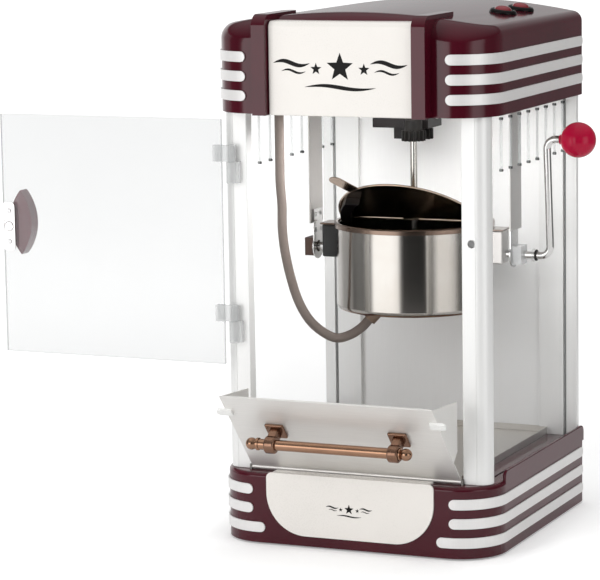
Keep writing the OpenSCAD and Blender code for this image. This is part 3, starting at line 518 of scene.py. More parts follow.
def sleeve():  # woven sleeve: two crossing sets of strands round the hose
    m = Finish("leadSleeve", (0.20, 0.165, 0.145), 0.62)
    uv = m.make("ShaderNodeTexCoord", {}, {}, "UV")
    u, v = (m.make("ShaderNodeSeparateXYZ", {}, {0: uv}, letter) for letter in "XY")
    turns, rows = 18, 250
    one = u.calc("PINGPONG", v * turns + u * rows, 0.5) * 2
    two = u.calc("PINGPONG", v * turns - u * rows, 0.5) * 2
    strand = one.calc("MAXIMUM", one, two)
    cloud = m.noise(60, 3, 0.6)
    m.feed(Base_Color=m.blendTone(strand * 0.75 + cloud * 0.25, (0.115, 0.09, 0.078), (0.26, 0.215, 0.19)))
    m.bump(strand, 0.5, 0.0004)
    return m.material


leadSleeve = sleeve()
print("finishes made:", len(bpy.data.materials))


flatness = 0.6  # degrees that a copied flat face may be off


def copied(node):
    only(nodes[node])
    bpy.ops.object.duplicate()
    twin = bpy.context.object
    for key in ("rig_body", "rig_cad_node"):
        del twin[key]
    bpy.ops.object.parent_clear(type="CLEAR_KEEP_TRANSFORM")
    enter()
    bpy.ops.mesh.customdata_custom_splitnormals_clear()
    bpy.ops.mesh.remove_doubles(threshold=weld)
    bpy.ops.mesh.dissolve_limited(angle_limit=radians(flatness))
    leave()
    return twin


def evened(obj):
    bpy.ops.object.shade_smooth_by_angle(angle=radians(35))
    return modify(obj, "WEIGHTED_NORMAL", weight=90, keep_sharp=True)


# ---- what each node is made of, and what it moves with ----

slotNodes = {
    "burgundy": (burgundy, "base_shell canopy_shell sign_ribs"),
    "cream": (cream, "base_front_panel sign_panel"),
    "silver_trim": (silverStrip, "base_trim canopy_trim"),
    "black_sheet": (blackSheet, "base_plate"),
    "rubber": (footRubber, "rubber_feet"),
    "floor_steel": (trayMetal, "cabinet_floor"),
    "post_metal": (postPaint, "front_posts rear_posts"),
    "clear_pane": (windowClear, "window_left window_right door_panel"),
    "clear_hinge": (hingeClear, "post_knuckles door_knuckles"),
    "rear_sheet": (rearPaint, "rear_panel"),
    "screw_steel": (screwSteel, "frame_screws catch_screws door_strike"),
    "ceiling_sheet": (ceilingMetal, "ceiling_plate"),
    "black_plastic": (blackPlastic, "power_inlet switch_bezels gear_housing front_lid_clip"),
    "button_red": (buttonRed, "button_light button_motor"),
    "motor_steel": (motorSteel, "motor"),
    "gear_black": (gearBlack, "drive_gear stirrer_pinion"),
    "lamp_ceramic": (lampCeramic, "lamp_holder thermostat"),
    "lamp_glass": (lampGlass, "lamp"),
    "strap_steel": (strapSteel, "kettle_straps"),
    "bracket_steel": (brightSteel, "pivot_brackets left_trunnion"),
    "bush_brown": (bushBrown, "pivot_bushes"),
    "gland_plastic": (glandPlastic, "lead_gland"),
    "handle_plastic": (handlePlastic, "door_handle"),
    "catch_steel": (catchSteel, "catch_plate"),
    "magnet_nickel": (magnetNickel, "door_magnet"),
    "flap_steel": (flapSteel, "flap_plate flap_hinge"),
    "flap_tab_plastic": (tabPlastic, "flap_tabs"),
    "copper_bar": (copperBar, "flap_handle_bar"),
    "copper_bracket": (copperBracket, "flap_handle_brackets"),
    "kettle_steel": (kettleSteel, "kettle_pot kettle_shell lid_bridge front_lid rear_lid"),
    "cover_steel": (coverSteel, "kettle_cover"),
    "element_steel": (elementSteel, "heating_element"),
    "block_black": (blockBlack, "kettle_blocks"),
    "crank_chrome": (crankChrome, "crank_rod"),
    "knob_red": (knobRed, "crank_knob"),
    "stirrer_steel": (stirrerSteel, "stirrer_shaft stirrer_paddle"),
    "lead_sleeve": (leadSleeve, "kettle_lead")}
bodyNodes = {
    "door": "door_panel door_knuckles door_handle catch_plate door_magnet catch_screws",
    "flap": "flap_plate flap_tabs flap_handle_bar flap_handle_brackets",
    "kettle": "kettle_pot kettle_shell kettle_cover heating_element thermostat kettle_blocks left_trunnion "
              "lid_bridge crank_rod crank_knob",
    "front_lid": "front_lid front_lid_clip", "rear_lid": "rear_lid",
    "stirrer": "stirrer_shaft stirrer_pinion stirrer_paddle", "drive_gear": "drive_gear",
    "button_light": "button_light", "button_motor": "button_motor"}
tones = {node: (material, slot) for slot, (material, names) in slotNodes.items() for node in names.split()}
ownTones = dict(door_panel=doorClear, door_strike=postPaint, flap_hinge=hingeSteel, lid_bridge=lidSteel,
                front_lid=lidSteel, rear_lid=lidSteel)
tones.update({node: (tone, tones[node][1]) for node, tone in ownTones.items()})
homes = {node: body for body, names in bodyNodes.items() for node in names.split()}


def camel(node):
    first, *rest = node.split("_")
    return first + "".join(word.title() for word in rest)


def put(obj, node, smoothAt=35, even=True):
    material, slot = tones[node]
    finish(obj, camel(node), material, homes.get(node, "cabinet"), slot, node, smoothAt=smoothAt)
    return evened(obj) if even else obj


def extra(obj, name, slot, body="cabinet", material=None, smoothAt=35):
    finish(obj, name, material or slotNodes[slot][0], body, slot, smoothAt=smoothAt)
    return evened(obj)


def toned(obj, material, test):
    obj.data.materials.append(material)
    pick(obj, "FACE", test)
    obj.active_material_index = len(obj.data.materials) - 1
    bpy.ops.object.material_slot_assign()
    leave()
    return obj


def united(obj, *parts):
    for part in parts:
        modify(obj, "BOOLEAN", operation="UNION", solver="EXACT", object=part)
        bpy.data.objects.remove(part)
    return obj


def screwHead(centre, direction, radius, rise):
    at, way = Vector(centre), Vector(direction)
    head = addRod("screw", at, at + way * rise, radius, 32, radius * 0.78)
    along = max(range(3), key=lambda i: abs(direction[i]))
    for cross in range(3):
        if cross != along:
            reach = [radius * (0.62 if i == cross else 0.13) for i in range(3)]
            reach[along] = rise * 0.6
            spot = at + way * rise * 1.1
            low, high = [[p + sign * r for p, r in zip(spot, reach)] for sign in (-1, 1)]
            cutBy(head, addBox("cross", low, high))
    return head


# ---- moulded shells ----

body = dict(half=133.5, front=-134.5, rear=132, corner=42, rearCorner=8)
canopy = dict(low=392.8, wall=2.5, sideEdge=10, frontEdge=22, rearEdge=7.8, roofCentre=-193,
              roofRadius=676, buttons=((97, 8), (97, 56)), buttonHole=10.5,
              inlet=((46.5, 120, 415.3), (73.5, 140, 434.3)))
base = dict(low=1.5, wall=2.5, sideEdge=4, frontEdge=4, rearEdge=4, deck=66)
rail = dict(inner=130.5, outer=133.47, front=-92.5, rear=130.2, low=60, top=75, bend=6)


def planLoop(b, s):
    spots = []
    r, near, far = b["corner"], s["frontEdge"], s["sideEdge"]
    rearR, rearEdge = b["rearCorner"], s["rearEdge"]
    x, y, rearX, rearY = b["half"] - r, b["front"] + r, b["half"] - rearR, b["rear"] - rearR
    corners = [(rearX, rearY, rearR, 90, 0, rearEdge, rearEdge), (x, y, r, 0, -90, far, near),
               (-x, y, r, -90, -180, near, far), (-rearX, rearY, rearR, -180, -270, rearEdge, rearEdge)]
    for n, (cx, cy, r, start, end, edgeA, edgeB) in enumerate(corners):
        for i in range(13):
            share = i / 12
            angle = radians(start + (end - start) * share)
            edge = edgeA + (edgeB - edgeA) * share * share * (3 - 2 * share)
            spots.append((cx, cy, r, cos(angle), sin(angle), edge))
        if n in (1, 3):  # the long front and rear runs carry the arch, so they are divided
            way, y = (-1, b["front"]) if n == 1 else (1, b["rear"])
            span = b["half"] - (b["corner"] if n == 1 else b["rearCorner"])
            for i in range(1, 16):
                spots.append((way * (span * 2 * i / 16 - span), y, 0, 0, way, edgeB))
    return spots


def shellForm(name, b, s, top, rows=7):
    spots = planLoop(b, s)
    loops = []
    for k in range(-1, rows + 1):
        a = radians(90 * max(k, 0) / rows)
        loop = []
        for cx, cy, r, nx, ny, edge in spots:
            inset = edge * (1 - cos(a))
            x, y = cx + nx * (r - inset), cy + ny * (r - inset)
            loop.append((x, y, s["low"] if k < 0 else top(x) - edge * (1 - sin(a))))
        loops.append(drawLine(f"loop{k}", loop + [loop[0]]))
    shell = joined(name, *loops)
    bpy.ops.object.mode_set(mode="EDIT")
    bpy.ops.mesh.select_mode(type="EDGE")
    bpy.ops.mesh.select_all(action="SELECT")
    bpy.ops.mesh.remove_doubles(threshold=weld)
    bpy.ops.mesh.bridge_edge_loops()

    def crown(p, q):
        return min(p.z - top(p.x), q.z - top(q.x)) > -0.02 and abs(p.y - q.y) < 100
    pick(shell, "EDGE", crown)
    bpy.ops.mesh.bridge_edge_loops()
    leaveOutward()
    return modify(shell, "SOLIDIFY", thickness=s["wall"] * mm, offset=-1)


def sideRail(s):
    r, z = s["bend"], s["top"] - s["bend"]
    outline = [(s["front"], s["low"]), *arc(s["front"] + r, z, r, 180, 90, 8),
               *arc(s["rear"] - r, z, r, 90, 0, 8), (s["rear"], s["low"])]
    one = plate("rail", [(s["inner"], y, z) for y, z in outline], (s["outer"] - s["inner"], 0, 0))
    return soften(one, 0.8, 3)


def arched(x):
    return canopy["roofCentre"] + sqrt(canopy["roofRadius"] ** 2 - x * x)


roof = shellForm("canopyShell", body, canopy, arched)
for x, y in canopy["buttons"]:
    tilt = Vector((x, 0, arched(x) - canopy["roofCentre"])).normalized()
    spot = Vector((x, y, arched(x)))
    cutBy(roof, addRod("hole", spot - tilt * 8, spot + tilt * 8, canopy["buttonHole"]))
cutBy(roof, addBox("hole", *canopy["inlet"]))
finish(roof, "canopyShell", burgundy, "cabinet", "burgundy", "canopy_shell")
evened(roof)
foot = shellForm("baseShell", body, base, lambda x: base["deck"])
side = sideRail(rail)
united(foot, mirrored(side), side)
finish(foot, "baseShell", burgundy, "cabinet", "burgundy", "base_shell")
evened(foot)
print("shells made")

# ---- silver strips ----

strip = dict(height=9.3, thick=1.35, pitch=17.4, rearTip=118.9, edge=0.5)


# the point that lies `far` from the middle of the front, measured along the plan's edge
def roundFront(b, far, off):
    flat, r = b["half"] - b["corner"], b["corner"]
    if far <= flat:
        return far, b["front"] - off
    if far < flat + r * pi / 2:
        a = (far - flat) / r
        return flat + (r + off) * sin(a), b["front"] + r - (r + off) * cos(a)
    return b["half"] + off, b["front"] + r + far - flat - r * pi / 2


def stripRun(b, z, tip, s):
    off, h = 0.02, s["height"] / 2
    ease = (0, 0.12, 0.5, 1.1, 1.9, 3)
    turn = b["half"] - b["corner"] + b["corner"] * pi / 2
    end = turn + s["rearTip"] + h - b["front"] - b["corner"]
    steps = int((turn - tip - h) / 2.6) + 1
    spots = [tip + d for d in ease] + [tip + h + (turn - tip - h) * i / steps for i in range(steps + 1)]
    spots += [end - h] + [end - d for d in reversed(ease)]
    path = [roundFront(b, far, off) for far in spots]
    run = [0]
    for (x, y), (nextX, nextY) in zip(path, path[1:]):
        run.append(run[-1] + hypot(nextX - x, nextY - y))
    total = run[-1]
    wide = [sqrt(max(0, h * h - max(0, h - min(r, total - r)) ** 2)) for r in run]
    low = drawLine("low", [(x, y, z - w) for (x, y), w in zip(path, wide)])
    high = drawLine("high", [(x, y, z + w) for (x, y), w in zip(path, wide)])
    one = joined("strip", low, high)
    bpy.ops.object.mode_set(mode="EDIT")
    bpy.ops.mesh.select_mode(type="EDGE")
    bpy.ops.mesh.select_all(action="SELECT")
    bpy.ops.mesh.bridge_edge_loops()
    bpy.ops.mesh.select_all(action="SELECT")
    bpy.ops.mesh.remove_doubles(threshold=weld)
    leaveOutward()
    pick(one, "FACE", lambda c, n: c.y < b["front"] + 1 and n.y > 0.9)
    if any(face.select for face in one.data.polygons):  # the open strip looks inward
        bpy.ops.mesh.select_all(action="SELECT")
        bpy.ops.mesh.flip_normals()
    leave()
    modify(one, "SOLIDIFY", thickness=s["thick"] * mm, offset=1)
    return soften(one, s["edge"], 3, 50)


def stripSet(name, z, tips, node):
    runs = [stripRun(body, z - i * strip["pitch"], tip, strip) for i, tip in enumerate(tips)]
    runs += [mirrored(run) for run in runs]
    finish(joined(name, *runs), name, silverStrip, "cabinet", "silver_trim", node)
    evened(bpy.context.object)


stripSet("baseTrim", 50.7, (95, 95, 83.4), "base_trim")
stripSet("canopyTrim", 443.4, (95, 95, 95), "canopy_trim")
print("strips made")

# ---- sign, ribs and front panel ----

sign = dict(half=68.5, front=-143.5, back=-118.5, low=392.8, top=476, edge=6)
rib = dict(low=69.3, wide=12.7, front=-150, base=392.8, top=481.8, edge=12, arm=470, end=-80,
           heel=((-118, 470), (-126, 392.8)))
panel = dict(half=81, low=11, corner=38, top=67.6, edge=5, front=-136.3, back=-134.4, shelf=-122.4)
star = dict(points=5, inner=0.42)


def makeSign(s):
    corner = arc(s["front"] + s["edge"], s["top"] - s["edge"], s["edge"], 180, 90, 10)
    side = [(s["front"], s["low"])] + corner + [(s["back"], s["top"]), (s["back"], s["low"])]
    board = plate("sign", [(-s["half"], y, z) for y, z in side], (2 * s["half"], 0, 0))
    put(soften(board, 1.1, 4), "sign_panel")


def makeRibs(s):
    mid = s["low"] + s["wide"] / 2
    corner = arc(s["front"] + s["edge"], s["top"] - s["edge"], s["edge"], 180, 90, 16)
    side = [(s["front"], s["base"]), *corner, (s["end"], s["top"]), (s["end"], s["arm"]), *s["heel"]]
    one = plate("rib", [(s["low"], y, z) for y, z in side], (s["wide"], 0, 0))
    united(one, addRod("end", (mid, s["end"], s["arm"]), (mid, s["end"], s["top"]), s["wide"] / 2))
    soften(one, 2.6, 5, 45)
    put(joined("ribs", one, mirrored(one)), "sign_ribs")


def makePanel(s):
    x, r, e = s["half"], s["corner"], s["edge"]
    line = arc(x - r, s["low"] + r, r, -90, 0, 16) + arc(x - e, s["top"] - e, e, 0, 90, 6)
    line = line + [(-a, b) for a, b in reversed(line)]
    face = plate("panel", [(a, s["front"], b) for a, b in line], (0, s["back"] - s["front"], 0))
    shelf = addBox("shelf", (e - x, s["front"] + 0.4, s["top"] - 1.6), (x - e, s["shelf"], s["top"]))
    put(soften(united(face, shelf), 0.8, 4), "base_front_panel")


def starPoints(cx, cz, r, s):
    tips = [(r * (s["inner"] if i % 2 else 1), i * pi / s["points"]) for i in range(2 * s["points"])]
    return [(cx + far * sin(a), cz + far * cos(a)) for far, a in tips]


def swash(x0, x1, z, lift, thick, count=18):
    upper, lower = [], []
    for i in range(count + 1):
        t = i / count
        x, mid = x0 + (x1 - x0) * t, z + lift * sin(2 * pi * t)
        half = thick / 2 * sin(pi * t) ** 0.8 + 0.05
        upper.append((x, mid + half))
        lower.append((x, mid - half))
    return upper + lower[::-1]


def ornament(name, y, cz, size, s):
    shapes = [starPoints(0, cz, size, s)]
    for side in (-1, 1):
        shapes.append(starPoints(side * size * 1.75, cz - size * 0.12, size * 0.42, s))
        for start, end, up, lift, thick in ((2.2, 4.9, 0.25, 0.16, 0.30), (2.5, 4.3, -0.30, 0.12, 0.16)):
            shapes.append(swash(side * size * start, side * size * end, cz + size * up,
                                side * size * lift, size * thick))
    shapes.append(swash(-size * 2.6, size * 2.6, cz - size * 1.35, size * 0.12, size * 0.26))
    marks = [plate("mark", [(x, y, z) for x, z in shape], (0, 0.35, 0)) for shape in shapes]
    extra(joined(name, *marks), name, "black_plastic", material=signInk)


makeSign(sign)
makeRibs(rib)
makePanel(panel)
ornament("signOrnament", sign["front"] - 0.12, 436, 13, star)
ornament("panelOrnament", panel["front"] - 0.12, 39, 4.6, star)
print("sign and panels made")

# ---- posts, panes and tray ----

post = dict(inner=102.8, outer=127, front=-118.4, back=-104.4, corner=12, low=66, top=394, lip=-106.4,
            web=110.6, slot=(116.5, 119.5, -112.7), crease=(115.4, 116.4, 0.45))
slots = dict(count=8, first=114.6, pitch=24.5, low=340, high=386, pane=118, eye=1.3, margin=3)
pivot = dict(at=(30.8, 252), hole=9)


def makePosts(s):
    near, far, deep = s["slot"]
    line = [(s["inner"], s["front"])]
    line += arc(s["outer"] - s["corner"], s["front"] + s["corner"], s["corner"], -90, 0, 16)
    line += [(s["outer"], s["back"]), (far, s["back"]), (far, deep), (near, deep), (near, s["back"]),
             (s["web"], s["back"]), (s["web"], s["lip"]), (s["inner"], s["lip"])]
    one = plate("post", [(x, y, s["low"]) for x, y in line], (0, 0, s["top"] - s["low"]))
    soften(one, 0.7, 3)
    left, right, deep = s["crease"]
    low, high = (left, s["front"] - 1, s["low"] - 1), (right, s["front"] + deep, s["top"] + 1)
    cutBy(one, addBox("crease", low, high))
    put(joined("posts", one, mirrored(one)), "front_posts")


def dressed(node, width, segments=3):
    return put(soften(copied(node), width, segments), node)


# the clear sheet's edge faces take a greyer, denser tone: painted reflection at its edges
def rimmed(node, axis, rim):
    obj = put(copied(node), node, even=False)
    return toned(obj, rim, lambda c, n: abs(n[axis]) < 0.5)


# black rods fill the round ends of the window slots: painted shade where the clear sheet's hole ends look dark
def makeEyes(s):
    eyes = []
    near, far = s["pane"] - 1.6, s["pane"] + 1.6
    for i in range(s["count"]):
        y = s["first"] - i * s["pitch"]
        eyes += [addRod("eye", (near, y, z), (far, y, z), s["eye"], 20) for z in (s["low"], s["high"])]
    right = joined("slotEndShade", *eyes)
    extra(joined("slotEndShade", right, mirrored(right)), "slotEndShade", "black_plastic", material=signInk)


makePosts(post)



def inSlots(c, n, s=slots):
    inside = s["low"] - s["margin"] < c.z < s["high"] + s["margin"] and abs(c.y) < s["first"] + s["margin"]
    return abs(n.x) < 0.5 and inside


def inHole(c, n, s=pivot):
    return abs(n.x) < 0.5 and hypot(c.y - s["at"][0], c.z - s["at"][1]) < s["hole"]


for node in ("window_left", "window_right"):
    pane = rimmed(node, 0, paneRim)
    # the slot and hole cut faces take the same painted reflection
    toned(pane, slotRim, inSlots)
    toned(pane, slotRim, inHole)
makeEyes(slots)
for node, width in (("rear_posts", 0.6), ("rear_panel", 0.3), ("cabinet_floor", 0.35), ("base_plate", 0.3),
                    ("rubber_feet", 1.2)):
    dressed(node, width)
print("cabinet made")

# ---- door ----

door = dict(catch=(-343, 281.5), front=-128.4, wide=12.6, tall=45.6, gap=14.4, corner=4, sheet=1.2)


def makeCatch(s):
    x, z = s["catch"]
    y = s["front"]
    w, h, e, t = s["wide"] / 2, s["tall"] / 2, s["corner"], s["sheet"]

    def outline(w, h, e):
        line = arc(x + w - e, z - h + e, e, -90, 0, 6) + arc(x + w - e, z + h - e, e, 0, 90, 6)
        return line + arc(x - w + e, z + h - e, e, 90, 180, 6) + arc(x - w + e, z - h + e, e, 180, 270, 6)
    sheet = plate("catch", [(a, y - t, b) for a, b in outline(w, h, e)], (0, t, 0))
    inner = outline(w - 1.5, h - 1.5, e - 1.5)
    cutBy(sheet, plate("dish", [(a, y - 2, b) for a, b in inner], (0, 1.3, 0)))
    cutBy(sheet, addRod("hole", (x, y - 3, z), (x, y + 1, z), 4.6))
    put(soften(sheet, 0.25, 2), "catch_plate")
    disc = [(0, -1.5), (3.6, -1.5), (4.2, -1.25), (4.5, -0.8), (4.5, 0)]
    put(lathe("magnet", disc, (x, y, z), "Y", 48), "door_magnet")
    places = [(x, y - 0.5, z + side * s["gap"]) for side in (-1, 1)]
    put(joined("heads", *[screwHead(place, (0, -1, 0), 2.6, 1.1) for place in places]), "catch_screws")


rimmed("door_panel", 1, paneRim)
dressed("post_knuckles", 0.5, 2)
dressed("door_knuckles", 0.5, 2)
dressed("door_handle", 3.4, 6)
dressed("door_strike", 0.3)
makeCatch(door)
print("door made")

# ---- flap and its handle ----

flap = dict(hinge=(0, -119.3, 68.6), open=42, half=101.5, tall=104, thick=1.2,
            wing=((0, 104), (42.4, 61.3), (12.3, 28), (0, 28)), tab=83.5, tabIn=7, tabOut=4.5, tabHalf=3.5,
            barOut=17.5, barAt=60, bar=4.8, barRight=70, barLeft=-78)


def onFlap(x, out, up):
    return (x, flap["hinge"][1] + out, flap["hinge"][2] + up)


def opened(obj):
    return tilted(obj, flap["open"], flap["hinge"])


def makeFlap(s):
    t = s["thick"] / 2
    sheet = addBox("sheet", onFlap(-s["half"], -t, 1.5), onFlap(s["half"], t, s["tall"]))
    hem = addBox("hem", onFlap(3 - s["half"], t - 0.1, s["tall"] - 6),
                 onFlap(s["half"] - 3, t + 0.8, s["tall"] - 0.1))
    barrel = addRod("barrel", onFlap(-s["half"], 0, 0), onFlap(s["half"], 0, 0), 2.2, 32)
    wing = plate("wing", [onFlap(s["half"] - 1.2, a, b) for a, b in s["wing"]], (1.2, 0, 0))
    united(wing, addBox("fold", onFlap(s["half"] - 7, t - 0.1, 30), onFlap(s["half"] - 0.6, t + 0.6, 98)))
    for part in (sheet, hem, wing):
        soften(part, 0.3, 2)
    put(opened(joined("flap", sheet, hem, barrel, wing, mirrored(wing))), "flap_plate")


def makeTabs(s):
    y, z, h, e = -s["thick"] / 2, s["tab"], s["tabHalf"], s["half"] + s["tabOut"]
    one = addBox("tab", onFlap(s["half"] - s["tabIn"], y - 2.6, z - h), onFlap(e, y, z + h))
    united(one, addRod("end", onFlap(e, y - 2.6, z), onFlap(e, y, z), h, 40))
    soften(one, 0.7, 3)
    put(opened(joined("tabs", one, mirrored(one))), "flap_tabs")


def makeHandle(s):
    ball = [(5.5 * sin(radians(a)), -5.5 * cos(radians(a))) for a in range(0, 136, 9)] + [(3.8, 4.2)]
    left = [(4.4, 4.8), (5.4, 5.1), (5.7, 5.4), (5.7, 7.3), (5.4, 7.6), (s["bar"], 7.8)]
    right = [(4.4, 4.3), (5.4, 4.5), (5.7, 4.8), (5.7, 5.5), (5.4, 5.7), (s["bar"], 5.8)]
    profile = [(r, s["barLeft"] + h) for r, h in ball + left]
    profile += [(r, s["barRight"] - h) for r, h in reversed(ball + right)]
    bar = lathe("bar", profile, onFlap(0, -s["barOut"], s["barAt"]), "X", 64)
    put(opened(bar), "flap_handle_bar", smoothAt=50)
    y, z = -s["thick"] / 2, s["barAt"]
    out = -s["barOut"]
    foot = soften(addBox("foot", onFlap(50, y - 3, z - 9), onFlap(68, y, z + 9)), 1.3, 4)
    stem = soften(addBox("stem", onFlap(54.5, out, z - 5.2), onFlap(63.5, y - 2.5, z + 5.2)), 1.6, 4)
    loop = soften(addRod("loop", onFlap(54, out, z), onFlap(64, out, z), s["bar"] + 3.1), 1.8, 5)
    screw = screwHead(onFlap(65.8, y - 3, z + 6.4), (0, -1, 0), 1.5, 0.5)
    one = joined("bracket", foot, stem, loop, screw)
    put(opened(joined("brackets", one, mirrored(one))), "flap_handle_brackets")


makeFlap(flap)
makeTabs(flap)
makeHandle(flap)
dressed("flap_hinge", 0.3, 2)
print("flap made")

# ---- kettle ----

kettle = dict(axis=pivot["at"], low=198.5, skirt=73.4, pot=71, rim=280.5, floor=215, block=90.5)


def makeKettle(k):
    y = k["axis"][0]
    r, z = k["skirt"], k["low"]
    top = [(0, 69), (-0.5, 71), (-0.5, 76.8), (-0.8, 77), (-1.3, 76.8), (-1.3, 71), (-0.8, 69)]
    skirt = [(r - 10, z), *arc(r - 5, z + 5, 5, -90, 0, 10), *[(r + a, z + b) for a, b in top]]
    skirt += [*arc(r - 5, z + 5, 4.2, 0, -90, 10), (r - 10, z + 0.8), (r - 10, z)]
    shell = lathe("shell", skirt, (0, y, 0), steps=192)
    for side, hole in ((-1, 4), (1, 3.5)):
        cutBy(shell, addRod("hole", (side * (r - 6), y, k["axis"][1]), (side * (r + 6), y, k["axis"][1]), hole))
    toned(put(shell, "kettle_shell"), hemCopper, lambda c, n: c.z < z + 2.2)
    p, f, top = k["pot"], k["floor"], k["rim"]
    inside = [(0, f + 1.2), (p - 6.2, f + 1.2), *arc(p - 5.2, f + 5.2, 4, -90, 0, 8)]
    rise = [(-1.2, -3), (-0.9, -1.5), (0.1, -0.5), (1.2, -0.05)]
    fall = [(4.3, -5), (3.9, -5.2), (3.4, -5), (3.3, -2.4), (0.6, -2.2), (0, -3)]
    rim = [(p + a, top + b) for a, b in rise] + arc(p + 2.4, top - 1.9, 1.9, 90, 0, 8)
    outside = [(p + a, top + b) for a, b in fall] + [(p, f + 5), (p - 1, f + 1.6), (p - 3, f), (0, f)]
    pot = lathe("pot", inside + rim + outside, (0, y, 0), steps=192)
    near, far = p + 3, k["block"] + 1
    wings = [soften(addBox("wing", (a, y - 11, top - 6.4), (b, y + 11, top - 4.8)), 0.4, 2)
             for a, b in ((near, far), (-far, -near))]
    toned(put(joined("pot", pot, *wings), "kettle_pot"), rimSteel,
          lambda c, n: c.z > top - 6.6 and hypot(c.x, c.y - y) > p - 1)


def makeBlocks(k):
    y, z = k["axis"]
    one = addBox("block", (k["skirt"] - 2, y - 9, z - 9), (k["block"], y + 9, k["rim"] - 6.4))
    cutBy(soften(one, 1.6, 4), addRod("bowl", (0, y, 200), (0, y, 290), k["skirt"] + 0.05, 128))
    blocks = joined("blocks", one, mirrored(one))
    toned(put(blocks, "kettle_blocks"), strapSteel, lambda c, n: c.x > 0)


makeKettle(kettle)
makeBlocks(kettle)
dressed("kettle_cover", 0.5, 2)
dressed("heating_element", 0.2, 2)
dressed("thermostat", 0.6)
dressed("left_trunnion", 0.5)
toned(dressed("pivot_bushes", 0.8), hingeClear, lambda c, n: c.x > 0)
dressed("pivot_brackets", 0.3, 2)
dressed("kettle_straps", 0.3, 2)
print("kettle made")

# ---- lids ----

lid = dict(radius=72.4, base=281.8, hinge=(0, 24.0, 282.3), open=35, bridge=5, notch=8, tab=-34, reach=20)


def halfLid(name, side, s):
    y = kettle["axis"][0]
    r, z = s["radius"], s["base"]
    rolled = [(-8, 0.1), (-5, 0), (-2, -0.1), (-0.6, 0.1), (0, 0.8), (-0.1, 1.6), (-0.8, 1.8), (-1.5, 1.5),
              (-3, 1), (-6, 1)]
    dish = [(0, z + 0.1), *[(r + a, z + b) for a, b in rolled], (0, z + 1), (0, z + 0.1)]
    half = lathe(name, dish, (0, y, 0), steps=160)
    near, far = sorted((y + side * (s["bridge"] + 0.3), y + side * (s["bridge"] + 0.3) - side * 200))
    cutBy(half, addBox("cut", (-99, near, z - 9), (99, far, z + 9)))
    cutBy(half, addRod("notch", (0, y, z - 9), (0, y, z + 9), s["notch"]))
    line, high = y + side * 6.8, z + 0.5
    barrels = [addRod("curl", (a * 8, line, high), (a * r * 0.9, line, high), 1.4, 24) for a in (-1, 1)]
    return joined(name, soften(half, 0.15, 2, 50), *barrels)


def makeLids(s):
    y = kettle["axis"][0]
    front = halfLid("front", -1, s)
    z, r = s["base"], s["radius"]
    tongue = [(7, y - r + 3), *arc(0, y - r - s["reach"], 7, 0, -180, 15), (-7, y - r + 3)]
    tab = soften(plate("tab", [(a, b, z + 0.2) for a, b in tongue], (0, 0, 1.0)), 0.3, 2)
    ridge = addBox("ridge", (-3.6, y - r - s["reach"] + 2, z + 1), (3.6, y - r + 28, z + 2))
    lift = tilted(joined("lift", tab, soften(ridge, 0.6, 3)), s["tab"], (0, y, z), "Z")
    put(tilted(joined("front", front, lift), -s["open"], s["hinge"]), "front_lid")
    put(halfLid("rear", 1, s), "rear_lid")


makeLids(lid)
dressed("front_lid_clip", 0.8)
dressed("lid_bridge", 0.4, 2)
print("lids made")

# ---- crank ----

crank = dict(start=71.2, bend=9, out=134, rod=3.5, tall=109, knobAt=164, knob=16.2, lean=5,
             clip=(119.7, 121.1))


def makeCrank(s):
    y, z = kettle["axis"]
    b, x = s["bend"], s["out"]
    path = [(s["start"], 0), *arc(x - b, b, b, -90, 0, 12), *arc(x + b, s["tall"] - b, b, 180, 90, 12),
            (s["knobAt"] - 5, s["tall"])]
    rod = bentRod("crank", [(a, y, z + c) for a, c in path], s["rod"], 10)
    put(tilted(rod, s["lean"], (0, y, z)), "crank_rod", smoothAt=60, even=False)
    r = s["knob"]
    half = [(r * sin(radians(a)), -r * cos(radians(a))) for a in range(180, 13, -4)]
    neck = [(4.6, -r + 0.2), (4.6, -r - 0.9), (4.2, -r - 1.2), (3.55, -r - 1.2)]
    knob = lathe("knob", half + neck, (s["knobAt"], y, z + s["tall"]), "X", 96)
    put(tilted(knob, s["lean"], (0, y, z)), "crank_knob", smoothAt=40, even=False)
    near, far = s["clip"]
    t = far - near
    ring = [(3.5, 0), (5.0, 0), (5.3, 0.4), (5.3, t - 0.4), (5.0, t), (3.5, t)]
    extra(lathe("clip", ring, (near, y, z), "X", 40), "crankClip", "black_plastic", "kettle")


makeCrank(crank)
print("crank made")

# ---- drive, stirrer, lamp, buttons and inlet ----


button = dict(cap=((0, 6.4), (2, 6.3), (4.2, 5.9), (6.2, 5.0), (7.6, 3.6), (8.3, 2.0), (8.4, 1.2), (8.4, -7),
                   (0, -7)),
              bezel=((8.7, -12), (8.7, 2.2), (9.2, 2.8), (10, 3.1), (11, 2.9), (12, 1.9), (12.5, 0.7),
                     (12.5, 0), (10.2, 0), (10.2, -16), (9.4, -16), (8.7, -12)))


def onRoof(name, profile, x, y):
    spot = (x, y, arched(x))
    turn = asin(x / canopy["roofRadius"]) * 180 / pi
    return tilted(lathe(name, profile, spot, "Z", 64), turn, spot, "Y")


def makeButtons(s):
    for node, place in zip(("button_light", "button_motor"), canopy["buttons"]):
        put(onRoof("button", s["cap"], *place), node)
    bezels = [onRoof("bezel", s["bezel"], *place) for place in canopy["buttons"]]
    put(joined("bezels", *bezels), "switch_bezels")


makeButtons(button)
for node, width in (("gear_housing", 1.2), ("drive_gear", 0.25), ("stirrer_pinion", 0.25),
                    ("stirrer_shaft", 0.3), ("stirrer_paddle", 0.3), ("motor", 1.0), ("lamp_holder", 0.8),
                    ("lamp", 0.6), ("lead_gland", 0.5), ("power_inlet", 0.4), ("ceiling_plate", 0.3)):
    dressed(node, width, 2)
strapSpots = [(98.5, kettle["axis"][0] + side * 6, z) for side in (-1, 1) for z in (268, 283)]
screws = joined("strapScrews", *[screwHead(spot, (-1, 0, 0), 2.4, 1.2) for spot in strapSpots])
extra(joined("strapScrews", screws, mirrored(screws)), "strapScrews", "screw_steel")
print("drive made")

# ---- kettle lead, dressed ----

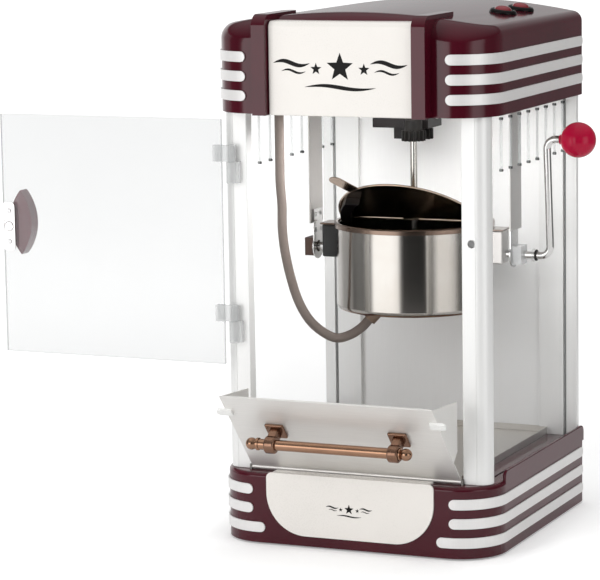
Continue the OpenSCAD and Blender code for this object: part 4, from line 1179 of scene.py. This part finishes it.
finish(leadPiece, "kettleLead", leadSleeve, "cabinet", "lead_sleeve", "kettle_lead")

# ---- the CAD nodes that keep their shape ----

for node, (material, slotName) in tones.items():
    held = nodes[node].data.materials
    for i in range(len(held)):
        held[i] = material

# ---- floor, lamps and world ----

studio = dict(ambient=0.70, floor=(0.90, 0.90, 0.90), near=0.25, far=0.50, fade=(0.35, 1.6), edge=(0.9, 1.25),
              boxTop=0.34, ceiling=(0.02, 0.9), ground=0.85, horizon=(-0.45, -0.22),
              walls=((-180, 0.50), (-158, 0.55), (-140, 1.2), (-118, 1.2), (-108, 0.7), (-86, 0.6),
                     (-80, 0.15), (-56, 0.12), (-47, 0.5), (-41, 2.7), (-12, 2.7), (-3, 2.3), (1, 0.35),
                     (5, 0.06), (34, 0.04), (44, 0.3), (50, 1.0), (56, 2.0), (72, 1.9), (81, 1.4), (89, 0.2),
                     (116, 0.12), (126, 0.17), (166, 0.20), (180, 0.50)),
              lamps=(("keyLamp", (-1.1, -2.0, 1.0), 20, 1.3, 0.12),
                     ("fillLamp", (1.9, -1.3, 0.9), 4, 1.4, 0.25),
                     ("topLamp", (0.1, 0.3, 2.4), 9, 1.6, 0.25),
                     ("cabinetLamp", (0, -0.03, 0.386), 0.75, 0.14, 0.1)))


def rays(graph):
    return [graph.make("ShaderNodeLightPath", {}, {}, f"Is {kind} Ray")
            for kind in ("Camera", "Transmission", "Glossy")]


def makeFloor(s):
    nothing()
    bpy.ops.mesh.primitive_plane_add(size=60, location=(0, 0, -0.0002))
    floor = settle(bpy.context.object, "studioFloor")
    sweep = Finish("studioFloor", s["floor"], 0.9, Emission_Strength=1)
    floor.data.materials.append(sweep.material)
    far = sweep.make("ShaderNodeVectorMath", dict(operation="LENGTH"), {0: sweep.place}, "Value")
    glow = sweep.spread(far, *s["fade"], s["near"], s["far"], "SMOOTHSTEP")
    camera, through, glossy = rays(sweep)
    sweep.feed(Emission_Color=glow * camera.calc("MAXIMUM", camera, through))
    gone = sweep.spread(far, *s["edge"], 0.0, 1.0, "SMOOTHSTEP")
    shade = Flow(sweep, sweep.shader.outputs[0])
    empty = sweep.make("ShaderNodeBsdfTransparent", {}, {})
    mix = sweep.make("ShaderNodeMixShader", {}, {0: gone * glossy, 1: shade, 2: empty})
    sweep.tree.links.new(mix.socket, sweep.tree.nodes["Material Output"].inputs["Surface"])


def makeLamps(s):
    for name, place, power, size, aim in s["lamps"]:
        bpy.ops.object.light_add(type="AREA", location=place)
        lamp = bpy.context.object
        lamp.name, lamp.data.energy, lamp.data.size = name, power, size
        lamp.rotation_euler = (Vector(place) - Vector((0, 0, aim))).to_track_quat("Z", "Y").to_euler()
        lamp.visible_glossy = lamp.visible_camera = lamp.visible_transmission = False


def makeWorld(s):
    world = bpy.data.worlds.new("studioWorld")
    scene.world = world
    room = Graph(world)
    world.cycles.sampling_method = "NONE"
    sky = room.tree.nodes["Background"]
    sky.inputs["Color"].default_value = (1, 1, 1, 1)
    look = room.make("ShaderNodeTexCoord", {}, {}, "Generated")
    x, y, z = (room.make("ShaderNodeSeparateXYZ", {}, {0: look}, letter) for letter in "XYZ")
    turn = x.calc("ARCTAN2", x, y * -1) * (180 / pi)  # degrees: 0 in front, 90 on the crank's side
    level = room.spread(turn, -180.0, 180.0, 0.0, 1.0)
    walls = room.ramp(level, *[((a + 180) / 360, v) for a, v in s["walls"]])
    height = room.spread(z, s["boxTop"], s["boxTop"] + 0.03, 1.0, 0.0)
    above = room.spread(z, s["boxTop"], 1.0, *s["ceiling"])
    below = room.spread(z, *s["horizon"], 1.0, 0.0)
    shine = (walls * height + above * (1 - height)) * (1 - below) + below * s["ground"]
    camera, through, glossy = rays(room)
    seen = camera.calc("MAXIMUM", camera, through)
    rest = 1 - glossy.calc("MAXIMUM", glossy, seen)
    strength = seen + glossy * (1 - seen) * shine + rest * s["ambient"]
    room.tree.links.new(strength.socket, sky.inputs["Strength"])


makeFloor(studio)
makeLamps(studio)
makeWorld(studio)
